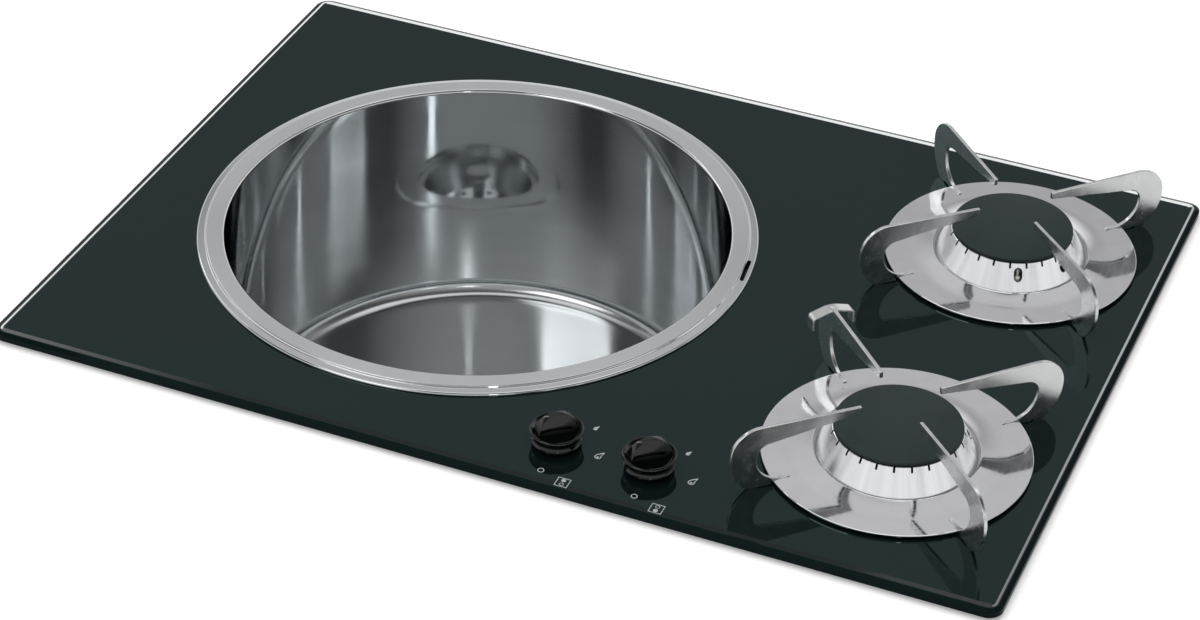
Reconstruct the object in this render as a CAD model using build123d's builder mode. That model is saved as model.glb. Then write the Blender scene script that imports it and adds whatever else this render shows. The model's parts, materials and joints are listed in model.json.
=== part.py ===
from build123d import *
from math import cos, radians, sin
import os

os.makedirs("parts", exist_ok=True)

# A black glass worktop plate with a round steel sink bowl on the left, two gas burners on the right
# and two press-and-turn knobs in front of them. Millimetres: Z = 0 is the worktop that carries the
# plate, X runs along its long side towards the burners, Y to the back.

# Glass plate and the seal it rests on
glass_length = 715.0
glass_depth = 498.0
glass_thickness = 6.0
glass_corner = 10.0
glass_bevel_width = 3.2
glass_bevel_drop = 1.4
glass_arris = 0.6
seal_thickness = 2.0
seal_width = 10.0
seal_inset = 4.0

# Steel tray under the glass and the clamps that pull it to the worktop
tray_inset = 18.0
tray_height = 53.0
tray_sheet = 1.0
tray_lip = 10.0
tray_corner = 6.0
worktop_thickness = 30.0
clamp_reach = 15.0
clamp_width = 20.0
clamp_sheet = 2.0
clamp_drop = 6.0
clamp_leg = 12.0
clamp_corner_gap = 124.5
clamp_end_shift = 60.0
clamp_screw_radius = 2.45
clamp_screw_length = 22.0
clamp_head_radius = 4.5
clamp_head_height = 3.5
thread_clearance = 0.05

# Sink bowl
bowl_left_margin = 249.5
bowl_back_shift = 2.5
bowl_radius = 180.0
bowl_depth = 180.0
bowl_draft = 1.0
bowl_fall = 3.0
bowl_sheet = 0.8
bowl_fillet = 12.0
bowl_hole_gap = 5.0
ring_band_width = 13.2
ring_ledge_width = 5.8
ring_height = 4.2
ring_lip_gap = 0.3
ring_edge_fillet = 1.6
ring_mouth_fillet = 2.6
ledge_drop = 1.6
ledge_slope = 0.5
step_run = 1.0
step_fillet = 1.1
gasket_width = 5.0
gasket_inset = 0.5

# Overflow slot in the ring, with its elbow and pipe
overflow_angle = 7.6
overflow_step_gap = 1.3
overflow_slot_length = 26.0
overflow_slot_width = 3.0
overflow_margin = 1.6
elbow_length = 40.0
elbow_width = 17.0
elbow_height = 16.0
elbow_wall = 2.0
elbow_fillet = 3.0
spigot_radius = 7.0
spigot_wall = 1.6
spigot_length = 16.0
overflow_pipe_wall = 2.0
overflow_pipe_bend = 60.0
overflow_pipe_clearance = 0.05
overflow_pipe_hole_gap = 1.5

# Waste fitting and strainer
waste_hole_radius = 45.0
waste_clearance = 0.4
waste_flange_width = 12.0
waste_flange_height = 1.6
waste_wall = 2.0
waste_cup_depth = 46.0
waste_seat_margin = 6.0
waste_ledge_depth = 8.0
waste_ledge_width = 3.5
waste_gasket_height = 3.0
waste_nut_height = 9.0
waste_nut_width = 13.0
waste_nut_grips = 8
waste_nut_grip_radius = 4.0
stub_radius = 19.0
stub_length = 22.0
tail_radius = 20.0
tail_wall = 2.5
tail_length = 52.0
tail_socket_depth = 14.0
strainer_clearance = 0.35
strainer_sheet = 1.2
strainer_depth = 26.0
strainer_foot_radius = 29.0
strainer_hole_radius = 2.2
strainer_hole_count = 12
strainer_hole_ring_radius = 21.0
strainer_post_radius = 4.0
strainer_grip_radius = 8.0
strainer_grip_height = 5.0

# Burners
burner_right_margin = 109.3
burner_front_margin = 127.0
burner_back_margin = 120.2
burner_hole_radius = 50.0
burner_seal_thickness = 0.8
burner_seal_inset = 1.0
burner_seal_width = 9.0
cup_flange_radius = 62.0
cup_flange_thickness = 1.2
cup_radius = 36.0
cup_wall = 3.0
cup_depth = 34.0
cup_floor = 4.0
cup_boss_radius = 14.0
cup_base_radius = 20.0
cup_base_thickness = 3.0
cup_screw_offset = 16.0
port_radius = 6.0
port_reach = 24.0
port_depth = 8.0
injector_radius = 5.0
injector_thread = 10.0
injector_flats = 13.0
injector_head = 6.0
injector_nose = 4.0
jet_radius = 0.6
gas_way_radius = 2.0
crown_radius = 40.0
crown_wall = 3.5
crown_floor = 3.0
crown_foot = 2.0
crown_height = 20.0
crown_foot_count = 4
crown_foot_length = 5.0
crown_foot_width = 9.0
venturi_radius = 10.0
venturi_wall = 3.0
venturi_drop = 14.0
flame_slot_count = 24
flame_slot_width = 1.5
flame_slot_height = 3.8
skirt_radius = 53.5
skirt_top_radius = 42.9
skirt_sheet = 0.9
skirt_gap = 0.15
cap_gap = 0.4
cap_radius = 42.4
cap_edge = 2.2
cap_crown = 4.6
cap_edge_fillet = 0.9
cap_lip_width = 1.5
cap_lip_depth = 3.0
cap_clearance = 0.25
peg_offset = 43.5
peg_collar_radius = 3.3
peg_collar_height = 2.0
peg_clearance = 0.1
electrode_radius = 2.4
electrode_foot = 24.0
electrode_ceramic = 6.5
electrode_pin_radius = 0.8
electrode_pin = 6.0
thermocouple_radius = 1.7
thermocouple_foot = 20.0
thermocouple_tip = 12.0
skirt_window_width = 6.0
skirt_window_height = 9.0
skirt_window_level = 12.4
electrode_angle = 67.5
thermocouple_angle = 24.0
screw_radius = 2.0
screw_head_radius = 3.8
screw_head_height = 2.6

# Spill discs and the pan-support blades that stand in them
disc_radius = 88.9
disc_thickness = 1.2
disc_edge = 0.4
disc_gap = 1.1
disc_sweep_width = 17.4
disc_sweep_height = 1.6
blade_count = 4
blade_angle = 45.0
blade_thickness = 2.5
blade_clearance = 0.05
blade_seat_radius = 77.0
blade_tip_radius = 28.5
blade_tip_top = 45.6
blade_tip_height = 4.8
blade_shoulder_radius = 99.0
blade_shoulder_top = 47.6
blade_reach = 119.8
blade_bulge_height = 26.0
blade_foot_radius = 104.0
blade_foot_width = 5.0
blade_tongue_below = 0.8
blade_tongue_top = 4.2
blade_throat_radius = 101.6
blade_throat_height = 23.5
blade_arm_root_radius = 94.0
blade_arm_root_height = 33.3
saddle_blade = ("front", 2)
saddle_radius = 104.0
saddle_width = 8.0
saddle_half_span = 15.5
saddle_shoulder_height = 43.0
saddle_foot_height = 33.5
saddle_sheet = 1.5
saddle_bend = 3.0
saddle_crown_bend = 20.0

# Gas taps, knobs and pipes
tap_burner_offset = 205.6
tap_pitch = 65.1
tap_front_margin = 45.6
tap_hole_radius = 9.0
tap_drop = 4.0
tap_neck_radius = 7.0
tap_neck = 6.0
tap_radius = 11.0
tap_barrel = 26.0
plug_radius = 6.0
plug_length = 20.2
run_clearance = 0.05
spindle_radius = 3.0
spindle_above = 17.5
spindle_below = 29.0
tap_port_radius = 6.5
tap_port_reach = 11.6
tap_inlet_drop = 16.0
tap_outlet_radius = 5.0
tap_outlet_reach = 16.0
tap_outlet_drop = 10.0
tap_outlet_bore = 5.0
magnet_radius = 8.5
magnet_length = 14.0
magnet_bore_radius = 4.0
magnet_bore_depth = 11.5
stem_radius = 1.5
stem_gap = 0.3
stem_head_radius = 3.6
stem_head_height = 2.5
stem_head_drop = 4.0
rail_radius = 6.0
rail_wall = 1.95
rail_left = 18.0
rail_right = 40.0
rail_stand_off = 18.0
rail_end = 3.0
bracket_length = 82.0
bracket_width = 16.0
bracket_sheet = 1.5
supply_radius = 4.0
supply_wall = 1.0
supply_right_margin = 41.5
supply_back_margin = 69.0
supply_below = 34.0
supply_bend = 16.0
supply_grip = 10.0
inlet_radius = 10.45
inlet_length = 15.0
inlet_bore_radius = 7.0
inlet_flats = 24.0
inlet_collar = 7.0
grommet_lip = 2.0
grommet_lip_height = 1.5
grommet_wall = 3.0
feed_radius = 3.0
feed_wall = 0.8
feed_bend = 8.0
feed_run = 26.4
feed_low = 26.0
feed_back_turn = 29.4
feed_lead = 28.0
igniter_length = 60.0
igniter_width = 40.0
igniter_height = 24.0
igniter_fillet = 3.0
terminal_radius = 3.0
terminal_height = 6.0
terminal_pitch = 30.0

# Knobs
knob_gap = 3.6
knob_foot_radius = 16.6
knob_neck_radius = 15.2
knob_neck_level = 7.4
knob_rim_radius = 18.1
knob_rim_level = 11.4
knob_rim_thickness = 1.2
knob_rim_width = 1.6
knob_dish_level = 11.0
knob_recess_radius = 13.0
knob_recess_top = 7.6
knob_grip_angle = 44.0
knob_grip_half_length = 14.6
knob_grip_height = 24.6
knob_grip_foot_thickness = 10.0
knob_grip_top_thickness = 4.0
knob_seat_gap = 0.3
knob_seal_radius = 12.0
knob_seal_lip = 1.2
knob_seal_gap = 0.3

# Levels and places worked out from the sizes above
glass_bottom = seal_thickness
glass_face = glass_bottom + glass_thickness
tray_bottom = glass_bottom - tray_height
tray_floor = tray_bottom + tray_sheet
tray_length = glass_length - 2 * tray_inset
tray_depth = glass_depth - 2 * tray_inset
burner_x = glass_length / 2 - burner_right_margin
burner_front_y = burner_front_margin - glass_depth / 2
burner_back_y = glass_depth / 2 - burner_back_margin
burner_y = {"front": burner_front_y, "back": burner_back_y}
bowl_x = bowl_left_margin - glass_length / 2
bowl_y = bowl_back_shift
step_radius = bowl_radius + ring_band_width + step_run
ring_radius = step_radius + ring_ledge_width
overflow_radius = step_radius + overflow_step_gap
bowl_hole_radius = bowl_radius + bowl_sheet + bowl_hole_gap
band_top = glass_face + ring_height
ledge_top = band_top - ledge_drop
floor_level = glass_face - bowl_depth
seat_level = floor_level - bowl_fall
waste_body_radius = waste_hole_radius - waste_clearance
flange_bottom = glass_face + burner_seal_thickness
flange_top = flange_bottom + cup_flange_thickness
cup_floor_top = flange_top - cup_depth
crown_top = flange_top + crown_height
skirt_top = crown_top - cap_gap
port_level = cup_floor_top - cup_floor - port_radius - injector_radius
tap_back_x = burner_x - tap_burner_offset
tap_front_x = tap_back_x + tap_pitch
tap_y = tap_front_margin - glass_depth / 2
tap_top = glass_bottom - tap_drop
barrel_top = tap_top - tap_neck
barrel_bottom = barrel_top - tap_barrel
bore_top = barrel_bottom + plug_length + stem_gap * 2
inlet_level = barrel_top - tap_inlet_drop
outlet_level = barrel_top - tap_outlet_drop
rail_y = tap_y - rail_stand_off
spindle_bottom = tap_top - spindle_below + tap_drop
supply_x = glass_length / 2 - supply_right_margin
supply_y = glass_depth / 2 - supply_back_margin
overflow_x = bowl_x + overflow_radius * cos(radians(overflow_angle))
overflow_y = bowl_y + overflow_radius * sin(radians(overflow_angle))
feed_run_y = tap_y + feed_run
feed_back_x = (overflow_x + burner_x) / 2
feed_back_turn_x = tap_back_x + feed_back_turn
tap_x = {"front": tap_front_x, "back": tap_back_x}
peg_side = {"front": 1, "back": -1}


def upright_plane(x, y, angle=0.0, z=0.0):
    """Plane standing at (x, y): its X runs outwards at the angle, its Y is the height above z."""
    a = radians(angle)
    return Plane(origin=(x, y, z), x_dir=(cos(a), sin(a), 0), z_dir=(sin(a), -cos(a), 0))


def level_plane(x, y, z, angle=0.0):
    """Level plane at (x, y, z), turned by the angle."""
    a = radians(angle)
    return Plane(origin=(x, y, z), x_dir=(cos(a), sin(a), 0), z_dir=(0, 0, 1))


def upright_axis(x, y):
    """Vertical axis through (x, y)."""
    return Axis((x, y, 0), (0, 0, 1))


def around(x, y, radius, angle):
    """Point at a radius and angle about (x, y)."""
    return (x + radius * cos(radians(angle)), y + radius * sin(radians(angle)))


def save(builder, name):
    """Label a finished piece and write its STEP file."""
    builder.part.label = name
    export_step(builder.part, f"parts/{name}.step")


# Glass plate: bevelled rim, openings for the bowl, its overflow, the burners and the spindles
with BuildPart() as glass_top:
    with BuildSketch(Plane.XY.offset(glass_bottom)):
        RectangleRounded(glass_length, glass_depth, glass_corner)
    extrude(amount=glass_thickness)
    upper_face = glass_top.faces().sort_by(Axis.Z)[-1]
    chamfer(upper_face.edges(), glass_bevel_width, glass_bevel_drop, reference=upper_face)
    chamfer(glass_top.faces().sort_by(Axis.Z)[0].edges(), glass_arris)
    with BuildSketch(Plane.XY.offset(glass_bottom)):
        with Locations((bowl_x, bowl_y)):
            Circle(bowl_hole_radius)
        with Locations(*[(burner_x, y) for y in burner_y.values()]):
            Circle(burner_hole_radius)
        with Locations(*[(x, tap_y) for x in tap_x.values()]):
            Circle(tap_hole_radius)
    extrude(amount=glass_thickness, mode=Mode.SUBTRACT)
    with BuildSketch(level_plane(overflow_x, overflow_y, glass_bottom, overflow_angle + 90)):
        SlotOverall(
            overflow_slot_length + 2 * overflow_margin,
            overflow_slot_width + overflow_margin,
        )
    extrude(amount=glass_thickness, mode=Mode.SUBTRACT)
save(glass_top, "glass_top")

# Seal strip between the glass and the worktop
with BuildPart() as edge_seal:
    with BuildSketch():
        RectangleRounded(glass_length - 2 * seal_inset, glass_depth - 2 * seal_inset, glass_corner)
        RectangleRounded(
            glass_length - 2 * (seal_inset + seal_width),
            glass_depth - 2 * (seal_inset + seal_width),
            glass_corner / 2,
            mode=Mode.SUBTRACT,
        )
    extrude(amount=seal_thickness)
save(edge_seal, "edge_seal")

# Tray: folded box with a lip bonded under the glass, open round the bowl
with BuildPart() as under_tray:
    with BuildSketch(Plane.XY.offset(tray_bottom)):
        RectangleRounded(tray_length, tray_depth, tray_corner)
    extrude(amount=tray_height)
    with BuildSketch(Plane.XY.offset(tray_floor)):
        RectangleRounded(
            tray_length - 2 * tray_sheet,
            tray_depth - 2 * tray_sheet,
            tray_corner - tray_sheet,
        )
    extrude(amount=tray_height - 2 * tray_sheet, mode=Mode.SUBTRACT)
    with BuildSketch(Plane.XY.offset(glass_bottom)):
        Rectangle(tray_length - 2 * tray_lip, tray_depth - 2 * tray_lip)
    extrude(amount=-2 * tray_sheet, mode=Mode.SUBTRACT)
    with BuildSketch(Plane.XY.offset(tray_bottom)):
        with Locations((bowl_x, bowl_y)):
            Circle(bowl_hole_radius)
        with Locations((overflow_x, overflow_y)):
            Circle(spigot_radius + overflow_pipe_wall + overflow_pipe_hole_gap)
        with Locations((supply_x, supply_y)):
            Circle(supply_radius + grommet_wall)
        for y in burner_y.values():
            with Locations((burner_x, y - cup_screw_offset), (burner_x, y + cup_screw_offset)):
                Circle(screw_radius + peg_clearance)
    extrude(amount=tray_sheet, mode=Mode.SUBTRACT)
save(under_tray, "under_tray")

# Clamps: angle pieces on the tray walls, each with a screw that presses up under the worktop
clamp_side_x = tray_length / 2 - clamp_corner_gap
clamp_places = [
    (-clamp_side_x, -tray_depth / 2, -90),
    (clamp_side_x, -tray_depth / 2, -90),
    (-clamp_side_x, tray_depth / 2, 90),
    (clamp_side_x, tray_depth / 2, 90),
    (-tray_length / 2, clamp_end_shift, 180),
    (tray_length / 2, clamp_end_shift, 0),
]
clamp_toe_top = -worktop_thickness - clamp_drop
clamp_screw_out = (clamp_reach + clamp_sheet) / 2
with BuildPart() as clamp_brackets:
    for x, y, angle in clamp_places:
        with BuildSketch(upright_plane(x, y, angle)):
            with BuildLine():
                Polyline(
                    (0, clamp_toe_top),
                    (clamp_reach, clamp_toe_top),
                    (clamp_reach, clamp_toe_top - clamp_sheet),
                    (clamp_sheet, clamp_toe_top - clamp_sheet),
                    (clamp_sheet, clamp_toe_top - clamp_leg),
                    (0, clamp_toe_top - clamp_leg),
                    close=True,
                )
            make_face()
        extrude(amount=clamp_width / 2, both=True)
        with BuildSketch(level_plane(*around(x, y, clamp_screw_out, angle), clamp_toe_top)):
            Circle(clamp_screw_radius + thread_clearance)
        extrude(amount=-clamp_sheet, mode=Mode.SUBTRACT)
save(clamp_brackets, "clamp_brackets")

with BuildPart() as clamp_screws:
    for x, y, angle in clamp_places:
        spot = around(x, y, clamp_screw_out, angle)
        with BuildSketch(level_plane(*spot, -worktop_thickness)):
            Circle(clamp_screw_radius)
        extrude(amount=-clamp_screw_length)
        with BuildSketch(level_plane(*spot, -worktop_thickness - clamp_screw_length)):
            RegularPolygon(clamp_head_radius, 6)
        extrude(amount=-clamp_head_height)
save(clamp_screws, "clamp_screws")

# Bowl: one pressed sheet from the ring's outer lip over the ledge and band, down the wall to the waste
waste_seat_radius = waste_hole_radius + waste_flange_width + waste_seat_margin
with BuildPart() as sink_bowl:
    with BuildSketch(upright_plane(bowl_x, bowl_y)):
        with BuildLine():
            FilletPolyline(
                (ring_radius, glass_face + ring_lip_gap),
                (ring_radius, ledge_top - ledge_slope),
                (step_radius, ledge_top),
                (step_radius - step_run, band_top),
                (bowl_radius, band_top),
                (bowl_radius - bowl_draft, floor_level),
                (waste_seat_radius, seat_level),
                (waste_hole_radius, seat_level),
                radius=(
                    ring_edge_fillet,
                    step_fillet,
                    step_fillet,
                    ring_mouth_fillet,
                    bowl_fillet,
                    bowl_fillet,
                ),
            )
            offset(amount=bowl_sheet, side=Side.LEFT)
        make_face()
    revolve(axis=upright_axis(bowl_x, bowl_y))
    with BuildSketch(level_plane(overflow_x, overflow_y, band_top, overflow_angle + 90)):
        SlotOverall(overflow_slot_length, overflow_slot_width)
    extrude(amount=glass_face - band_top, mode=Mode.SUBTRACT)
save(sink_bowl, "sink_bowl")

with BuildPart() as bowl_gasket:
    with BuildSketch(level_plane(bowl_x, bowl_y, glass_face)):
        Circle(bowl_hole_radius + gasket_inset + gasket_width)
        Circle(bowl_hole_radius + gasket_inset, mode=Mode.SUBTRACT)
    extrude(amount=ring_height - bowl_sheet)
save(bowl_gasket, "bowl_gasket")

# Overflow: a pocket bonded under the glass slot, and a bent pipe down to the waste
with BuildPart() as overflow_elbow:
    with BuildSketch(level_plane(overflow_x, overflow_y, glass_bottom, overflow_angle)):
        RectangleRounded(elbow_width, elbow_length, elbow_fillet)
    extrude(amount=-elbow_height)
    with BuildSketch(level_plane(overflow_x, overflow_y, glass_bottom)):
        Circle(spigot_radius)
    extrude(amount=-elbow_height - spigot_length)
    with BuildSketch(level_plane(overflow_x, overflow_y, glass_bottom, overflow_angle)):
        RectangleRounded(
            elbow_width - 2 * elbow_wall,
            elbow_length - 2 * elbow_wall,
            elbow_fillet - elbow_wall / 2,
        )
    extrude(amount=elbow_wall - elbow_height, mode=Mode.SUBTRACT)
    with BuildSketch(level_plane(overflow_x, overflow_y, glass_bottom)):
        Circle(spigot_radius - spigot_wall)
    extrude(amount=-elbow_height - spigot_length, mode=Mode.SUBTRACT)
save(overflow_elbow, "overflow_elbow")

waste_nut_bottom = seat_level - bowl_sheet - waste_gasket_height - waste_nut_height
overflow_pipe_radius = spigot_radius + overflow_pipe_clearance + overflow_pipe_wall
overflow_pipe_level = waste_nut_bottom - overflow_pipe_radius - spigot_length / 2
overflow_pipe_top = glass_bottom - elbow_height
overflow_pipe_end = waste_body_radius + waste_wall
with BuildPart() as overflow_pipe:
    with BuildLine(upright_plane(bowl_x, bowl_y, overflow_angle)) as overflow_pipe_route:
        FilletPolyline(
            (overflow_radius, overflow_pipe_top),
            (overflow_radius, overflow_pipe_level),
            (overflow_pipe_end, overflow_pipe_level),
            radius=overflow_pipe_bend,
        )
    with BuildSketch(level_plane(overflow_x, overflow_y, overflow_pipe_top)):
        Circle(overflow_pipe_radius)
        Circle(overflow_pipe_radius - overflow_pipe_wall, mode=Mode.SUBTRACT)
    sweep(path=overflow_pipe_route.wire())
save(overflow_pipe, "overflow_pipe")

# Waste: flanged cup through the bowl floor, gasket and nut below it, outlet tail, lift-out strainer
cup_inner = waste_body_radius - waste_wall
waste_ledge_level = seat_level - waste_ledge_depth
waste_cup_bottom = seat_level - waste_cup_depth
waste_flange_radius = waste_hole_radius + waste_flange_width
waste_flange_top = seat_level + waste_flange_height
stub_bottom = waste_cup_bottom - stub_length
with BuildPart() as waste_body:
    with BuildSketch(upright_plane(bowl_x, bowl_y)):
        with BuildLine():
            Polyline(
                (cup_inner, waste_flange_top),
                (waste_flange_radius - waste_flange_height, waste_flange_top),
                (waste_flange_radius, seat_level),
                (waste_body_radius, seat_level),
                (waste_body_radius, waste_cup_bottom),
                (stub_radius, waste_cup_bottom),
                (stub_radius, stub_bottom),
                (stub_radius - waste_wall, stub_bottom),
                (stub_radius - waste_wall, waste_cup_bottom + waste_wall),
                (cup_inner - waste_ledge_width, waste_cup_bottom + waste_wall),
                (cup_inner - waste_ledge_width, waste_ledge_level),
                (cup_inner, waste_ledge_level),
                close=True,
            )
        make_face()
    revolve(axis=upright_axis(bowl_x, bowl_y))
    spigot_tip = around(bowl_x, bowl_y, overflow_pipe_end + spigot_length, overflow_angle)
    spigot_plane = Plane(
        origin=(*spigot_tip, overflow_pipe_level),
        z_dir=(-cos(radians(overflow_angle)), -sin(radians(overflow_angle)), 0),
    )
    with BuildSketch(spigot_plane):
        Circle(spigot_radius)
    extrude(amount=spigot_length + waste_wall * 2)
    with BuildSketch(spigot_plane):
        Circle(spigot_radius - spigot_wall)
    extrude(amount=spigot_length + waste_wall * 4, mode=Mode.SUBTRACT)
save(waste_body, "waste_body")

gasket_top = seat_level - bowl_sheet
with BuildPart() as waste_gasket:
    with BuildSketch(level_plane(bowl_x, bowl_y, gasket_top)):
        Circle(waste_flange_radius)
        Circle(waste_hole_radius, mode=Mode.SUBTRACT)
    extrude(amount=-waste_gasket_height)
save(waste_gasket, "waste_gasket")

with BuildPart() as waste_nut:
    with BuildSketch(level_plane(bowl_x, bowl_y, gasket_top - waste_gasket_height)):
        Circle(waste_body_radius + waste_nut_width)
        with PolarLocations(waste_body_radius + waste_nut_width, waste_nut_grips):
            Circle(waste_nut_grip_radius, mode=Mode.SUBTRACT)
        Circle(waste_body_radius + thread_clearance, mode=Mode.SUBTRACT)
    extrude(amount=-waste_nut_height)
save(waste_nut, "waste_nut")

socket_inner = stub_radius + thread_clearance
socket_outer = socket_inner + tail_wall
with BuildPart() as waste_tail:
    with BuildSketch(upright_plane(bowl_x, bowl_y)):
        with BuildLine():
            Polyline(
                (socket_inner, stub_bottom + tail_socket_depth),
                (socket_outer, stub_bottom + tail_socket_depth),
                (socket_outer, stub_bottom - tail_wall),
                (tail_radius, stub_bottom - tail_wall),
                (tail_radius, stub_bottom - tail_length),
                (tail_radius - tail_wall, stub_bottom - tail_length),
                (tail_radius - tail_wall, stub_bottom),
                (socket_inner, stub_bottom),
                close=True,
            )
        make_face()
    revolve(axis=upright_axis(bowl_x, bowl_y))
save(waste_tail, "waste_tail")

basket_rim = cup_inner - strainer_clearance
basket_wall = cup_inner - waste_ledge_width - strainer_clearance
basket_bottom = waste_ledge_level - strainer_depth
with BuildPart() as strainer_basket:
    with BuildSketch(upright_plane(bowl_x, bowl_y)):
        with BuildLine():
            Polyline(
                (basket_rim, waste_ledge_level),
                (basket_rim, waste_ledge_level + strainer_sheet),
                (basket_wall - strainer_sheet, waste_ledge_level + strainer_sheet),
                (strainer_foot_radius - strainer_sheet, basket_bottom + strainer_sheet),
                (0, basket_bottom + strainer_sheet),
                (0, basket_bottom),
                (strainer_foot_radius, basket_bottom),
                (basket_wall, waste_ledge_level),
                close=True,
            )
        make_face()
        with BuildLine():
            Polyline(
                (0, basket_bottom),
                (strainer_post_radius, basket_bottom),
                (strainer_post_radius, waste_ledge_level),
                (strainer_grip_radius, waste_ledge_level + strainer_grip_height),
                (strainer_grip_radius, waste_ledge_level + 2 * strainer_grip_height),
                (0, waste_ledge_level + 2 * strainer_grip_height),
                close=True,
            )
        make_face()
    revolve(axis=upright_axis(bowl_x, bowl_y))
    with BuildSketch(level_plane(bowl_x, bowl_y, basket_bottom)):
        with PolarLocations(strainer_hole_ring_radius, strainer_hole_count):
            Circle(strainer_hole_radius)
        with PolarLocations(strainer_hole_ring_radius * 2 / 3, strainer_hole_count // 2):
            Circle(strainer_hole_radius)
    extrude(amount=strainer_sheet, mode=Mode.SUBTRACT)
save(strainer_basket, "strainer_basket")

# Burner seals and fixing screws, shared by both burners
with BuildPart() as burner_seals:
    for y in burner_y.values():
        with BuildSketch(level_plane(burner_x, y, glass_face)):
            Circle(burner_hole_radius + burner_seal_inset + burner_seal_width)
            Circle(burner_hole_radius + burner_seal_inset, mode=Mode.SUBTRACT)
        extrude(amount=burner_seal_thickness)
save(burner_seals, "burner_seals")

with BuildPart() as burner_screws:
    for y in burner_y.values():
        for side in (-1, 1):
            spot = (burner_x, y + side * cup_screw_offset)
            with BuildSketch(level_plane(*spot, tray_bottom)):
                Circle(screw_head_radius)
            extrude(amount=-screw_head_height)
            with BuildSketch(level_plane(*spot, tray_bottom)):
                Circle(screw_radius)
            extrude(amount=tray_sheet + cup_base_thickness)
save(burner_screws, "burner_screws")

# Outline of a pan-support blade, as radius from the burner and height above the glass: a C-shaped plate
# with an arm over the cap, a round back beyond the disc, a foot on the glass and a tongue in the slot
tongue_bottom = flange_top - glass_face - blade_tongue_below
blade_tip_bottom = blade_tip_top - blade_tip_height
foot_outer = blade_foot_radius + blade_foot_width / 2
foot_inner = blade_foot_radius - blade_foot_width / 2
foot_lift = (blade_foot_width + tongue_bottom) / 2
with BuildSketch() as blade_outline:
    with BuildLine():
        Line((blade_tip_radius, blade_tip_bottom), (blade_tip_radius, blade_tip_top))
        Line((blade_tip_radius, blade_tip_top), (blade_shoulder_radius, blade_shoulder_top))
        TangentArc(
            (blade_shoulder_radius, blade_shoulder_top),
            (blade_reach, blade_bulge_height),
            tangent=(blade_shoulder_radius - blade_tip_radius, blade_shoulder_top - blade_tip_top),
        )
        TangentArc((blade_reach, blade_bulge_height), (foot_outer, 0), tangent=(0, -1))
        Line((foot_outer, 0), (foot_inner, 0))
        Line((foot_inner, 0), (foot_inner - foot_lift, tongue_bottom))
        Line((foot_inner - foot_lift, tongue_bottom), (blade_seat_radius, tongue_bottom))
        Line((blade_seat_radius, tongue_bottom), (blade_seat_radius, blade_tongue_top))
        TangentArc(
            (blade_throat_radius, blade_throat_height),
            (blade_seat_radius, blade_tongue_top),
            tangent=(0, -1),
        )
        TangentArc(
            (blade_throat_radius, blade_throat_height),
            (blade_arm_root_radius, blade_arm_root_height),
            tangent=(0, 1),
        )
        Line((blade_arm_root_radius, blade_arm_root_height), (blade_tip_radius, blade_tip_bottom))
    make_face()

# Outline of the arched strip across the shoulder of one blade
with BuildSketch() as saddle_outline:
    with BuildLine():
        FilletPolyline(
            (-saddle_half_span, saddle_foot_height),
            (-saddle_half_span, saddle_shoulder_height),
            (0, blade_shoulder_top),
            (saddle_half_span, saddle_shoulder_height),
            (saddle_half_span, saddle_foot_height),
            radius=(saddle_bend, saddle_crown_bend, saddle_bend),
        )
        offset(amount=saddle_sheet, side=Side.RIGHT)
    make_face()

skirt_slope = (skirt_radius - skirt_top_radius) / (skirt_top - flange_top)
window_level = flange_top + skirt_window_level
window_radius = skirt_radius - skirt_slope * skirt_window_level
peg_angles = {"spark_electrode": electrode_angle, "thermocouple": thermocouple_angle}

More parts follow.
